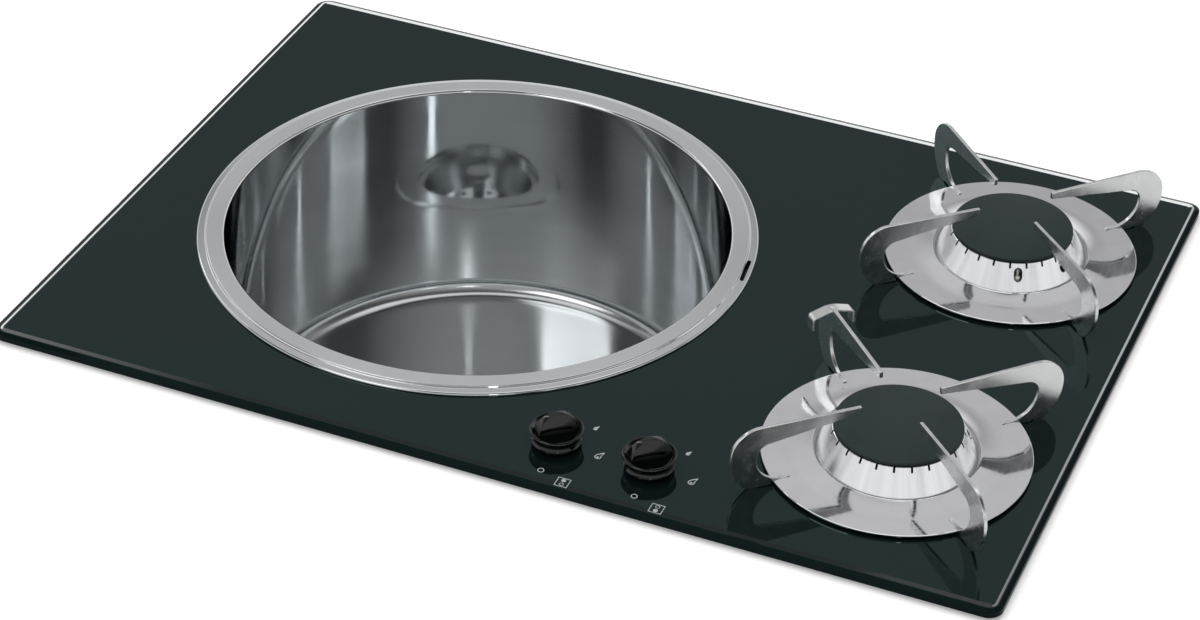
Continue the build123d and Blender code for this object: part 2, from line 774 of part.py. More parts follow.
for name, y in burner_y.items():
    axis = upright_axis(burner_x, y)
    section = upright_plane(burner_x, y)
    pegs = {peg: angle * peg_side[name] for peg, angle in peg_angles.items()}

    # Cup: flange on the glass, air well, boss down to the tray with the gas port on its left
    with BuildPart() as burner_cup:
        with BuildSketch(section):
            with BuildLine():
                Polyline(
                    (0, tray_floor),
                    (cup_base_radius, tray_floor),
                    (cup_base_radius, tray_floor + cup_base_thickness),
                    (cup_boss_radius, tray_floor + cup_base_thickness),
                    (cup_boss_radius, cup_floor_top - cup_floor),
                    (cup_radius, cup_floor_top - cup_floor),
                    (cup_radius, flange_bottom),
                    (cup_flange_radius, flange_bottom),
                    (cup_flange_radius, flange_top),
                    (cup_radius - cup_wall, flange_top),
                    (cup_radius - cup_wall, cup_floor_top),
                    (0, cup_floor_top),
                    close=True,
                )
            make_face()
        revolve(axis=axis)
        port_mouth = Plane(origin=(burner_x - port_reach, y, port_level), z_dir=(1, 0, 0))
        with BuildSketch(port_mouth):
            Circle(port_radius)
        extrude(amount=port_reach)
        with BuildSketch(port_mouth):
            Circle(feed_radius + run_clearance)
        extrude(amount=port_depth, mode=Mode.SUBTRACT)
        with BuildSketch(port_mouth):
            Circle(gas_way_radius)
        extrude(amount=port_reach, mode=Mode.SUBTRACT)
        with BuildSketch(level_plane(burner_x, y, cup_floor_top)):
            Circle(injector_radius + thread_clearance)
        extrude(amount=-injector_thread, mode=Mode.SUBTRACT)
        with BuildSketch(level_plane(burner_x, y, cup_floor_top)):
            Circle(gas_way_radius)
        extrude(amount=port_level - cup_floor_top, mode=Mode.SUBTRACT)
        with BuildSketch(level_plane(burner_x, y, tray_floor)):
            with Locations((0, -cup_screw_offset), (0, cup_screw_offset)):
                Circle(screw_radius + thread_clearance)
        extrude(amount=cup_base_thickness, mode=Mode.SUBTRACT)
        with BuildSketch(level_plane(burner_x, y, flange_bottom)):
            with Locations(*[around(0, 0, peg_offset, pegs["spark_electrode"])]):
                Circle(electrode_radius + peg_clearance)
            with Locations(*[around(0, 0, peg_offset, pegs["thermocouple"])]):
                Circle(thermocouple_radius + peg_clearance)
        extrude(amount=cup_flange_thickness, mode=Mode.SUBTRACT)
    save(burner_cup, f"burner_cup_{name}")

    # Injector: hexagon jet screwed into the cup's floor
    with BuildPart() as injector:
        with BuildSketch(level_plane(burner_x, y, cup_floor_top)):
            Circle(injector_radius)
        extrude(amount=-injector_thread)
        with BuildSketch(level_plane(burner_x, y, cup_floor_top)):
            RegularPolygon(injector_flats / 2, 6, major_radius=False)
        extrude(amount=injector_head)
        with BuildSketch(level_plane(burner_x, y, cup_floor_top + injector_head)):
            Circle(injector_radius)
        with BuildSketch(level_plane(burner_x, y, cup_floor_top + injector_head + injector_nose)):
            Circle(injector_radius / 2)
        loft()
        with BuildSketch(level_plane(burner_x, y, cup_floor_top - injector_thread)):
            Circle(gas_way_radius)
        extrude(amount=injector_thread + injector_head, mode=Mode.SUBTRACT)
        with BuildSketch(level_plane(burner_x, y, cup_floor_top + injector_head)):
            Circle(jet_radius)
        extrude(amount=injector_nose, mode=Mode.SUBTRACT)
    save(injector, f"injector_{name}")

    # Crown: dish with a venturi tube below it and flame slots round its rim, standing on feet
    crown_bottom = flange_top + crown_foot
    with BuildPart() as burner_crown:
        with BuildSketch(section):
            with BuildLine():
                Polyline(
                    (venturi_radius, crown_bottom - venturi_drop),
                    (venturi_radius + venturi_wall, crown_bottom - venturi_drop),
                    (venturi_radius + venturi_wall, crown_bottom),
                    (crown_radius, crown_bottom),
                    (crown_radius, crown_top),
                    (crown_radius - crown_wall, crown_top),
                    (crown_radius - crown_wall, crown_bottom + crown_floor),
                    (venturi_radius, crown_bottom + crown_floor),
                    close=True,
                )
            make_face()
        revolve(axis=axis)
        with BuildSketch(level_plane(burner_x, y, flange_top)):
            with PolarLocations(crown_radius - crown_foot_length / 2, crown_foot_count):
                Rectangle(crown_foot_length, crown_foot_width)
            Circle(crown_radius, mode=Mode.INTERSECT)
        extrude(amount=crown_foot)
        with BuildSketch(level_plane(burner_x, y, crown_top)):
            with PolarLocations(crown_radius - crown_wall / 2, flame_slot_count):
                Rectangle(crown_wall * 2, flame_slot_width)
        extrude(amount=-flame_slot_height, mode=Mode.SUBTRACT)
    save(burner_crown, f"burner_crown_{name}")

    # Skirt: sheet cone standing on the cup's flange, turned in at the top, notched at every flame slot
    skirt_inner = crown_radius + skirt_gap
    with BuildPart() as burner_skirt:
        with BuildSketch(section):
            with BuildLine():
                Polyline(
                    (skirt_radius, flange_top),
                    (skirt_top_radius, skirt_top),
                    (skirt_inner, skirt_top),
                    (skirt_inner, skirt_top - skirt_sheet),
                    (skirt_top_radius - skirt_sheet / 2, skirt_top - skirt_sheet),
                    (skirt_radius - skirt_sheet, flange_top),
                    close=True,
                )
            make_face()
        revolve(axis=axis)
        with BuildSketch(level_plane(burner_x, y, crown_top)):
            with PolarLocations(crown_radius + crown_wall / 2, flame_slot_count):
                Rectangle(crown_wall * 2, flame_slot_width)
        extrude(amount=-flame_slot_height, mode=Mode.SUBTRACT)
        for angle in pegs.values():
            across = cos(radians(angle)), sin(radians(angle))
            window = Plane(
                origin=(*around(burner_x, y, window_radius, angle), window_level),
                x_dir=(-across[1], across[0], 0),
                z_dir=(across[0], across[1], skirt_slope),
            )
            with BuildSketch(window):
                SlotOverall(skirt_window_height, skirt_window_width, rotation=90)
            extrude(amount=skirt_sheet * 2, both=True, mode=Mode.SUBTRACT)
    save(burner_skirt, f"burner_skirt_{name}")

    # Cap: low dome with a lip that drops inside the crown
    lip_outer = crown_radius - crown_wall - cap_clearance
    with BuildPart() as burner_cap:
        with BuildSketch(section) as cap_section:
            with BuildLine():
                Line((0, crown_top), (lip_outer - cap_lip_width, crown_top))
                Polyline(
                    (lip_outer - cap_lip_width, crown_top),
                    (lip_outer - cap_lip_width, crown_top - cap_lip_depth),
                    (lip_outer, crown_top - cap_lip_depth),
                    (lip_outer, crown_top),
                    (cap_radius, crown_top),
                    (cap_radius, crown_top + cap_edge),
                )
                TangentArc(
                    (0, crown_top + cap_crown),
                    (cap_radius, crown_top + cap_edge),
                    tangent=(1, 0),
                )
                Line((0, crown_top + cap_crown), (0, crown_top))
            make_face()
            fillet(cap_section.vertices().group_by(Axis.X)[-1].sort_by(Axis.Y)[-1], cap_edge_fillet)
        revolve(axis=axis)
    save(burner_cap, f"burner_cap_{name}")

    # Spark electrode and thermocouple, dropped through the cup's flange to show at the skirt's windows
    electrode_spot = around(burner_x, y, peg_offset, pegs["spark_electrode"])
    collar_top = flange_top + peg_collar_height
    ceramic_top = collar_top + electrode_ceramic
    with BuildPart() as spark_electrode:
        with BuildSketch(upright_plane(*electrode_spot)):
            with BuildLine():
                Polyline(
                    (0, flange_bottom - electrode_foot),
                    (electrode_radius, flange_bottom - electrode_foot),
                    (electrode_radius, flange_top),
                    (peg_collar_radius, flange_top),
                    (peg_collar_radius, collar_top),
                    (electrode_radius, collar_top),
                    (electrode_radius, ceramic_top),
                    (electrode_pin_radius, ceramic_top + electrode_radius / 2),
                    (electrode_pin_radius, ceramic_top + electrode_pin),
                    (0, ceramic_top + electrode_pin),
                    close=True,
                )
            make_face()
        revolve(axis=upright_axis(*electrode_spot))
    save(spark_electrode, f"spark_electrode_{name}")

    probe_spot = around(burner_x, y, peg_offset, pegs["thermocouple"])
    with BuildPart() as thermocouple:
        with BuildSketch(upright_plane(*probe_spot)):
            with BuildLine():
                Polyline(
                    (0, flange_bottom - thermocouple_foot),
                    (thermocouple_radius, flange_bottom - thermocouple_foot),
                    (thermocouple_radius, flange_top),
                    (peg_collar_radius, flange_top),
                    (peg_collar_radius, collar_top),
                    (thermocouple_radius, collar_top),
                    (thermocouple_radius, flange_top + thermocouple_tip),
                )
                TangentArc(
                    (thermocouple_radius, flange_top + thermocouple_tip),
                    (0, flange_top + thermocouple_tip + thermocouple_radius),
                    tangent=(0, 1),
                )
                Line(
                    (0, flange_top + thermocouple_tip + thermocouple_radius),
                    (0, flange_bottom - thermocouple_foot),
                )
            make_face()
        revolve(axis=upright_axis(*probe_spot))
    save(thermocouple, f"thermocouple_{name}")

    # Spill disc: mirror plate on the cup's flange, its face swept up towards the cone, slotted from the
    # rim for the blades
    disc_hole = skirt_radius + disc_gap
    disc_face = flange_top + disc_thickness
    with BuildPart() as spill_disc:
        with BuildSketch(section):
            with BuildLine():
                Polyline(
                    (disc_hole + disc_sweep_width, disc_face),
                    (disc_radius, disc_face),
                    (disc_radius, flange_top),
                    (disc_hole, flange_top),
                    (disc_hole, disc_face + disc_sweep_height),
                )
                TangentArc(
                    (disc_hole + disc_sweep_width, disc_face),
                    (disc_hole, disc_face + disc_sweep_height),
                    tangent=(-1, 0),
                )
            make_face()
        revolve(axis=axis)
        circles = spill_disc.edges().filter_by(GeomType.CIRCLE).group_by(Axis.Z)
        rim_edge = circles[-2].sort_by(SortBy.RADIUS)[-1]
        fillet([rim_edge, *circles[-1]], disc_edge)
        slot_length = 2 * (disc_radius - blade_seat_radius + blade_clearance)
        with BuildSketch(level_plane(burner_x, y, flange_top, blade_angle)):
            with PolarLocations(disc_radius, blade_count):
                Rectangle(slot_length, blade_thickness + 2 * blade_clearance)
        extrude(amount=disc_thickness + disc_sweep_height, mode=Mode.SUBTRACT)
    save(spill_disc, f"spill_disc_{name}")

    for number in range(blade_count):
        turn = blade_angle + number * 360 / blade_count
        blade_plane = upright_plane(burner_x, y, turn, glass_face)
        with BuildPart() as blade:
            with BuildSketch(blade_plane):
                add(blade_outline.sketch)
            extrude(amount=blade_thickness / 2, both=True)
            if (name, number + 1) == saddle_blade:
                saddle_spot = around(burner_x, y, saddle_radius, turn)
                with BuildSketch(upright_plane(*saddle_spot, turn + 90, glass_face)):
                    add(saddle_outline.sketch)
                extrude(amount=saddle_width / 2, both=True)
        save(blade, f"blade_{name}_{number + 1}")

# Gas rail along the front of the tray, its bracket, and the supply pipe that leaves through the tray's
# floor and ends in a half-inch male union
rail_start = tap_back_x - rail_left
rail_finish = tap_front_x + rail_right
rail_bore = rail_radius - rail_wall
with BuildPart() as gas_rail:
    with BuildSketch(Plane(origin=(rail_start, rail_y, inlet_level), z_dir=(1, 0, 0))):
        Circle(rail_radius)
    extrude(amount=rail_finish - rail_start)
    for x in tap_x.values():
        with BuildSketch(Plane(origin=(x, rail_y, inlet_level), z_dir=(0, 1, 0))):
            Circle(tap_port_radius)
        extrude(amount=rail_stand_off - tap_port_reach)
        with BuildSketch(Plane(origin=(x, rail_y, inlet_level), z_dir=(0, 1, 0))):
            Circle(gas_way_radius)
        extrude(amount=rail_stand_off - tap_port_reach, mode=Mode.SUBTRACT)
    with BuildSketch(Plane(origin=(rail_start + rail_end, rail_y, inlet_level), z_dir=(1, 0, 0))):
        Circle(rail_bore)
    extrude(amount=rail_finish - rail_start, mode=Mode.SUBTRACT)
save(gas_rail, "gas_rail")

bracket_x = (tap_back_x + tap_front_x) / 2
with BuildPart() as rail_bracket:
    with BuildSketch(level_plane(bracket_x, rail_y, tray_floor)):
        Rectangle(bracket_length, bracket_width)
    extrude(amount=bracket_sheet)
    for side in (-1, 1):
        cheek_x = bracket_x + side * (bracket_length - bracket_sheet) / 2
        with BuildSketch(level_plane(cheek_x, rail_y, tray_floor)):
            Rectangle(bracket_sheet, bracket_width)
        extrude(amount=inlet_level - tray_floor)
    with BuildSketch(Plane(origin=(rail_start, rail_y, inlet_level), z_dir=(1, 0, 0))):
        Circle(rail_radius + thread_clearance)
    extrude(amount=rail_finish - rail_start, mode=Mode.SUBTRACT)
save(rail_bracket, "rail_bracket")

with BuildPart() as supply_pipe:
    with BuildLine() as supply_route:
        FilletPolyline(
            (rail_finish - supply_grip, rail_y, inlet_level),
            (supply_x, rail_y, inlet_level),
            (supply_x, supply_y, inlet_level),
            (supply_x, supply_y, tray_bottom - supply_below),
            radius=supply_bend,
        )
    with BuildSketch(Plane(origin=(rail_finish - supply_grip, rail_y, inlet_level), z_dir=(1, 0, 0))):
        Circle(supply_radius)
        Circle(supply_radius - supply_wall, mode=Mode.SUBTRACT)
    sweep(path=supply_route.wire())
    inlet_top = tray_bottom - supply_below
    with BuildSketch(level_plane(supply_x, supply_y, inlet_top)):
        RegularPolygon(inlet_flats / 2, 6, major_radius=False)
    extrude(amount=-inlet_collar)
    with BuildSketch(level_plane(supply_x, supply_y, inlet_top - inlet_collar)):
        Circle(inlet_radius)
    extrude(amount=-inlet_length)
    with BuildSketch(level_plane(supply_x, supply_y, inlet_top)):
        Circle(supply_radius - supply_wall)
    extrude(amount=-inlet_collar, mode=Mode.SUBTRACT)
    with BuildSketch(level_plane(supply_x, supply_y, inlet_top - inlet_collar)):
        Circle(inlet_bore_radius)
    extrude(amount=-inlet_length, mode=Mode.SUBTRACT)
save(supply_pipe, "supply_pipe")

with BuildPart() as pipe_grommet:
    with BuildSketch(upright_plane(supply_x, supply_y)):
        with BuildLine():
            bore = supply_radius + thread_clearance
            waist = supply_radius + grommet_wall - thread_clearance
            lip = waist + grommet_lip
            Polyline(
                (bore, tray_bottom - grommet_lip_height),
                (lip, tray_bottom - grommet_lip_height),
                (lip, tray_bottom),
                (waist, tray_bottom),
                (waist, tray_floor),
                (lip, tray_floor),
                (lip, tray_floor + grommet_lip_height),
                (bore, tray_floor + grommet_lip_height),
                close=True,
            )
        make_face()
    revolve(axis=upright_axis(supply_x, supply_y))
save(pipe_grommet, "pipe_grommet")

# Feed pipes from the taps to the burners; the back one passes below the front one
outlet_y = tap_y + tap_outlet_reach - tap_outlet_bore
feed_end_x = burner_x - port_reach + port_depth
feed_low_level = outlet_level - feed_low
feed_points = {
    "front": (
        (tap_front_x, outlet_y, outlet_level),
        (tap_front_x, feed_run_y, outlet_level),
        (burner_x - port_reach - feed_lead, burner_front_y, port_level),
        (feed_end_x, burner_front_y, port_level),
    ),
    "back": (
        (tap_back_x, outlet_y, outlet_level),
        (tap_back_x, feed_run_y, outlet_level),
        (feed_back_turn_x, feed_run_y, feed_low_level),
        (feed_back_x, feed_run_y, feed_low_level),
        (feed_back_x, burner_back_y, port_level),
        (feed_end_x, burner_back_y, port_level),
    ),
}
for name, points in feed_points.items():
    with BuildPart() as feed_pipe:
        with BuildLine() as feed_route:
            FilletPolyline(*points, radius=feed_bend)
        with BuildSketch(Plane(origin=points[0], z_dir=(0, 1, 0))):
            Circle(feed_radius)
            Circle(feed_radius - feed_wall, mode=Mode.SUBTRACT)
        sweep(path=feed_route.wire())
    save(feed_pipe, f"feed_pipe_{name}")

# Spark generator on the tray's floor between the burners
igniter_y = (burner_front_y + burner_back_y) / 2
with BuildPart() as igniter_box:
    with BuildSketch(level_plane(burner_x, igniter_y, tray_floor)):
        RectangleRounded(igniter_length, igniter_width, igniter_fillet)
    extrude(amount=igniter_height)
    with BuildSketch(level_plane(burner_x, igniter_y, tray_floor + igniter_height)):
        with GridLocations(terminal_pitch, terminal_pitch, 2, 1):
            Circle(terminal_radius)
    extrude(amount=terminal_height)
save(igniter_box, "igniter_box")

# Seals where the spindles pass through the glass
with BuildPart() as knob_seals:
    for x in tap_x.values():
        with BuildSketch(upright_plane(x, tap_y)):
            with BuildLine():
                way = spindle_radius + knob_seal_gap
                neck = tap_hole_radius - thread_clearance
                Polyline(
                    (way, glass_bottom),
                    (neck, glass_bottom),
                    (neck, glass_face),
                    (knob_seal_radius, glass_face),
                    (knob_seal_radius, glass_face + knob_seal_lip / 2),
                    (way, glass_face + knob_seal_lip),
                    close=True,
                )
            make_face()
        revolve(axis=upright_axis(x, tap_y))
save(knob_seals, "knob_seals")

for name, x in tap_x.items():
    axis = upright_axis(x, tap_y)
    section = upright_plane(x, tap_y)
    spindle_hole = spindle_radius + run_clearance
    plug_hole = plug_radius + run_clearance
    inlet_plane = Plane(origin=(x, tap_y, inlet_level), z_dir=(0, -1, 0))
    outlet_plane = Plane(origin=(x, tap_y + tap_outlet_reach, outlet_level), z_dir=(0, -1, 0))

    # Tap body: barrel bored for the plug, inlet on the rail side, outlet towards the burners
    with BuildPart() as tap_body:
        with BuildSketch(section):
            with BuildLine():
                Polyline(
                    (0, barrel_bottom),
                    (tap_radius, barrel_bottom),
                    (tap_radius, barrel_top),
                    (tap_neck_radius, barrel_top),
                    (tap_neck_radius, tap_top),
                    (0, tap_top),
                    close=True,
                )
            make_face()
        revolve(axis=axis)
        with BuildSketch(inlet_plane):
            Circle(tap_port_radius)
        extrude(amount=tap_port_reach)
        with BuildSketch(outlet_plane):
            Circle(tap_outlet_radius)
        extrude(amount=tap_outlet_reach)
        with BuildSketch(inlet_plane):
            Circle(gas_way_radius)
        extrude(amount=tap_port_reach, mode=Mode.SUBTRACT)
        with BuildSketch(outlet_plane):
            Circle(gas_way_radius)
        extrude(amount=tap_outlet_reach, mode=Mode.SUBTRACT)
        with BuildSketch(outlet_plane):
            Circle(feed_radius + run_clearance)
        extrude(amount=tap_outlet_bore, mode=Mode.SUBTRACT)
        with BuildSketch(level_plane(x, tap_y, barrel_bottom)):
            Circle(plug_hole)
        extrude(amount=bore_top - barrel_bottom, mode=Mode.SUBTRACT)
        with BuildSketch(level_plane(x, tap_y, barrel_bottom)):
            Circle(spindle_hole)
        extrude(amount=tap_top - barrel_bottom, mode=Mode.SUBTRACT)
    save(tap_body, f"tap_body_{name}")

    # Plug: turns in the barrel with the spindle and opens the way to the burner
    plug_bottom = barrel_bottom + stem_gap
    with BuildPart() as tap_plug:
        with BuildSketch(level_plane(x, tap_y, plug_bottom)):
            Circle(plug_radius)
            Circle(spindle_hole, mode=Mode.SUBTRACT)
        extrude(amount=plug_length)
        with BuildSketch(Plane(origin=(x, tap_y, inlet_level), z_dir=(0, -1, 0))):
            Circle(gas_way_radius)
        extrude(amount=plug_radius * 2, both=True, mode=Mode.SUBTRACT)
    save(tap_plug, f"tap_plug_{name}")

    # Spindle: slides down through the plug when the knob is pressed
    with BuildPart() as tap_spindle:
        with BuildSketch(level_plane(x, tap_y, spindle_bottom)):
            Circle(spindle_radius)
        extrude(amount=glass_face + spindle_above - spindle_bottom)
    save(tap_spindle, f"tap_spindle_{name}")

    # Safety magnet under the barrel, and the sprung valve stem that the spindle pushes into it
    with BuildPart() as magnet_unit:
        with BuildSketch(level_plane(x, tap_y, barrel_bottom)):
            Circle(magnet_radius)
        extrude(amount=-magnet_length)
        with BuildSketch(level_plane(x, tap_y, barrel_bottom)):
            Circle(magnet_bore_radius)
        extrude(amount=-magnet_bore_depth, mode=Mode.SUBTRACT)
    save(magnet_unit, f"magnet_unit_{name}")

    stem_head_top = barrel_bottom - stem_head_drop
    with BuildPart() as valve_stem:
        with BuildSketch(level_plane(x, tap_y, spindle_bottom - stem_gap)):
            Circle(stem_radius)
        extrude(amount=stem_head_top - spindle_bottom + stem_gap)
        with BuildSketch(level_plane(x, tap_y, stem_head_top)):
            Circle(stem_head_radius)
        extrude(amount=-stem_head_height)
    save(valve_stem, f"valve_stem_{name}")

    # Grip of the knob: a fin with an arched top, narrowing upwards
    with BuildPart() as grip:
        with BuildSketch(upright_plane(x, tap_y, knob_grip_angle + 90, glass_face)):
            with BuildLine():
                Polyline(
                    (-knob_grip_foot_thickness / 2, knob_dish_level),
                    (knob_grip_foot_thickness / 2, knob_dish_level),
                    (knob_grip_top_thickness / 2, knob_grip_height),
                    (-knob_grip_top_thickness / 2, knob_grip_height),
                    close=True,
                )
            make_face()
        extrude(amount=knob_grip_half_length, both=True)
        with BuildSketch(upright_plane(x, tap_y, knob_grip_angle, glass_face)):
            with BuildLine():
                ThreePointArc(
                    (-knob_grip_half_length, knob_dish_level),
                    (0, knob_grip_height),
                    (knob_grip_half_length, knob_dish_level),
                )
                Line((knob_grip_half_length, knob_dish_level), (-knob_grip_half_length, knob_dish_level))
            make_face()
        extrude(amount=knob_grip_foot_thickness, both=True, mode=Mode.INTERSECT)

    # Knob: waisted body with a flared rim, dished top and the grip, hollow underneath
    rim_top = knob_rim_level + knob_rim_thickness
    with BuildPart() as knob:
        with BuildSketch(upright_plane(x, tap_y, 0, glass_face)):
            with BuildLine():
                Line((0, knob_gap), (knob_foot_radius, knob_gap))
                ThreePointArc(
                    (knob_foot_radius, knob_gap),
                    (knob_neck_radius, knob_neck_level),
                    (knob_rim_radius, knob_rim_level),
                )
                ThreePointArc(
                    (knob_rim_radius, knob_rim_level),
                    (knob_rim_radius - knob_rim_width / 4, rim_top - knob_rim_thickness / 4),
                    (knob_rim_radius - knob_rim_width / 2, rim_top),
                )
                Polyline(
                    (knob_rim_radius - knob_rim_width / 2, rim_top),
                    (knob_rim_radius - knob_rim_width, rim_top),
                    (knob_rim_radius - 2 * knob_rim_width, knob_dish_level),
                    (0, knob_dish_level),
                    (0, knob_gap),
                )
            make_face()
        revolve(axis=axis)
        add(grip.part)
        with BuildSketch(level_plane(x, tap_y, glass_face + knob_gap)):
            Circle(knob_recess_radius)
        extrude(amount=knob_recess_top - knob_gap, mode=Mode.SUBTRACT)
        with BuildSketch(level_plane(x, tap_y, glass_face + knob_gap)):
            Circle(spindle_hole)
        extrude(amount=spindle_above + knob_seat_gap - knob_gap, mode=Mode.SUBTRACT)
    save(knob, f"knob_{name}")
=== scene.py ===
import json
import math

import bmesh
import bpy
from mathutils import Matrix, Quaternion, Vector


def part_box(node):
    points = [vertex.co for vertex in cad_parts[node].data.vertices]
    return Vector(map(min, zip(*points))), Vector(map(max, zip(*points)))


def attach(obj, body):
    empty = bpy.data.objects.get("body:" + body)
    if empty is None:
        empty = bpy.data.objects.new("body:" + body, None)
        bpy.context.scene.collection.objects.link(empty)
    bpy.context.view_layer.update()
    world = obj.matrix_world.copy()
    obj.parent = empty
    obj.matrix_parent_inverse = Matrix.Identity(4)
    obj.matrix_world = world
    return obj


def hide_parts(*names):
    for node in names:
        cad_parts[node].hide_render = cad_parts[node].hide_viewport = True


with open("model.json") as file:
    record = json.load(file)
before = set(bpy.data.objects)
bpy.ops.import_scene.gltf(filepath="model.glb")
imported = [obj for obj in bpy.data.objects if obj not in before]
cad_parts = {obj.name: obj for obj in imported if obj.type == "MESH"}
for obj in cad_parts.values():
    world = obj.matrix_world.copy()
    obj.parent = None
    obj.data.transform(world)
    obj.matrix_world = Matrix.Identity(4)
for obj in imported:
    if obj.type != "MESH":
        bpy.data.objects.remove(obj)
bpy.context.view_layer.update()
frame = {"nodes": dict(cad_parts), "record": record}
nodes = frame["nodes"]
print("frame loaded:", len(nodes), "nodes")

sides = ("front", "back")


def mm(value):
    return value * 0.001


def middle(node):
    low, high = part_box(node)
    return (low + high) / 2


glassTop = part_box("glass_top")[1].z
bowlCentre = middle("sink_bowl")
burnerCentre = {side: middle(f"spill_disc_{side}") for side in sides}
knobCentre = {side: middle(f"knob_{side}") for side in sides}


# Materials: small node trees fed by object coordinates, or by "outward" and "reach" on turned pieces
def newMaterial(name):
    material = bpy.data.materials.new(name)
    material.use_nodes = True
    tree = material.node_tree
    return material, tree, tree.nodes["Principled BSDF"]


def objectCoords(tree):
    return tree.nodes.new("ShaderNodeTexCoord").outputs["Object"]


def attributeOf(tree, name, output):
    attribute = tree.nodes.new("ShaderNodeAttribute")
    attribute.attribute_name = name
    return attribute.outputs[output]


def addNoise(tree, coords, scale, stretch=(1, 1, 1), detail=4.0):
    mapping = tree.nodes.new("ShaderNodeMapping")
    mapping.inputs["Scale"].default_value = stretch
    tree.links.new(coords, mapping.inputs["Vector"])
    noise = tree.nodes.new("ShaderNodeTexNoise")
    noise.inputs["Scale"].default_value = scale
    noise.inputs["Detail"].default_value = detail
    tree.links.new(mapping.outputs["Vector"], noise.inputs["Vector"])
    return noise.outputs["Fac"]


def addRange(tree, source, low, high, fromLow=0.3, fromHigh=0.7):
    spread = tree.nodes.new("ShaderNodeMapRange")
    spread.inputs["From Min"].default_value = fromLow
    spread.inputs["From Max"].default_value = fromHigh
    spread.inputs["To Min"].default_value = low
    spread.inputs["To Max"].default_value = high
    tree.links.new(source, spread.inputs["Value"])
    return spread.outputs["Result"]


def addMix(tree, factor, first, second, kind="FLOAT"):
    mix = tree.nodes.new("ShaderNodeMix")
    mix.data_type = kind
    tree.links.new(factor, mix.inputs["Factor"])
    for source, socket in ((first, "A"), (second, "B")):
        if isinstance(source, (float, tuple)):
            mix.inputs[socket].default_value = source
        else:
            tree.links.new(source, mix.inputs[socket])
    return mix.outputs["Result"]


def addBlend(tree, source, first, second):
    ramp = tree.nodes.new("ShaderNodeValToRGB")
    ramp.color_ramp.elements[0].position = 0.3
    ramp.color_ramp.elements[0].color = (*first, 1)
    ramp.color_ramp.elements[1].position = 0.7
    ramp.color_ramp.elements[1].color = (*second, 1)
    tree.links.new(source, ramp.inputs["Fac"])
    return ramp.outputs["Color"]


def addBump(tree, source, shader, strength, distance):
    bump = tree.nodes.new("ShaderNodeBump")
    bump.inputs["Strength"].default_value = strength
    bump.inputs["Distance"].default_value = distance
    tree.links.new(source, bump.inputs["Height"])
    tree.links.new(bump.outputs["Normal"], shader.inputs["Normal"])


def makeGrained(name, metallic, depth, dark, light, roughLow, roughHigh, scale, bump=0.0, stretch=None):
    material, tree, shader = newMaterial(name)
    grain = addNoise(tree, objectCoords(tree), scale, stretch or (1, 1, 1))
    shader.inputs["Metallic"].default_value = metallic
    tree.links.new(addBlend(tree, grain, dark, light), shader.inputs["Base Color"])
    tree.links.new(addRange(tree, grain, roughLow, roughHigh), shader.inputs["Roughness"])
    if bump:
        addBump(tree, grain, shader, bump, depth)
    return material


def addSplit(tree, source):
    split = tree.nodes.new("ShaderNodeSeparateXYZ")
    tree.links.new(source, split.inputs["Vector"])
    return split.outputs["X"], split.outputs["Y"], split.outputs["Z"]


def addMath(tree, operation, first, second):
    node = tree.nodes.new("ShaderNodeMath")
    node.operation = operation
    for source, socket in ((first, 0), (second, 1)):
        if isinstance(source, float):
            node.inputs[socket].default_value = source
        else:
            tree.links.new(source, node.inputs[socket])
    return node.outputs["Value"]


def addVector(tree, operation, first, second, output="Vector"):
    node = tree.nodes.new("ShaderNodeVectorMath")
    node.operation = operation
    for source, socket in ((first, 0), (second, 1)):
        if isinstance(source, tuple):
            node.inputs[socket].default_value = source
        elif source:
            tree.links.new(source, node.inputs[socket])
    return node.outputs[output]


glass = {
    "dark": (0.0036, 0.0070, 0.0074), "light": (0.0044, 0.0080, 0.0084), "tint": (0.50, 0.97, 1.0, 1.0),
    "roughLow": 0.02, "roughHigh": 0.05, "cloud": 6, "ior": 1.38, "gloss": 0.5, "bevelGloss": 0.08,
}
# rim band on the flat top between two distances from the edge: its shading normal leans outwards, and a
# white metallic colour is painted on it as a highlight where it is seen at low angles
rim = {
    "start": 0.0040, "end": 0.0076, "sideEnd": 0.0056, "lean": 0.16, "corner": 0.010, "strength": 0.9,
    "facingLow": 0.30, "facingHigh": 0.46, "colour": (0.95, 0.97, 0.97, 1.0), "tint": (1.0, 1.0, 1.0, 1.0),
}


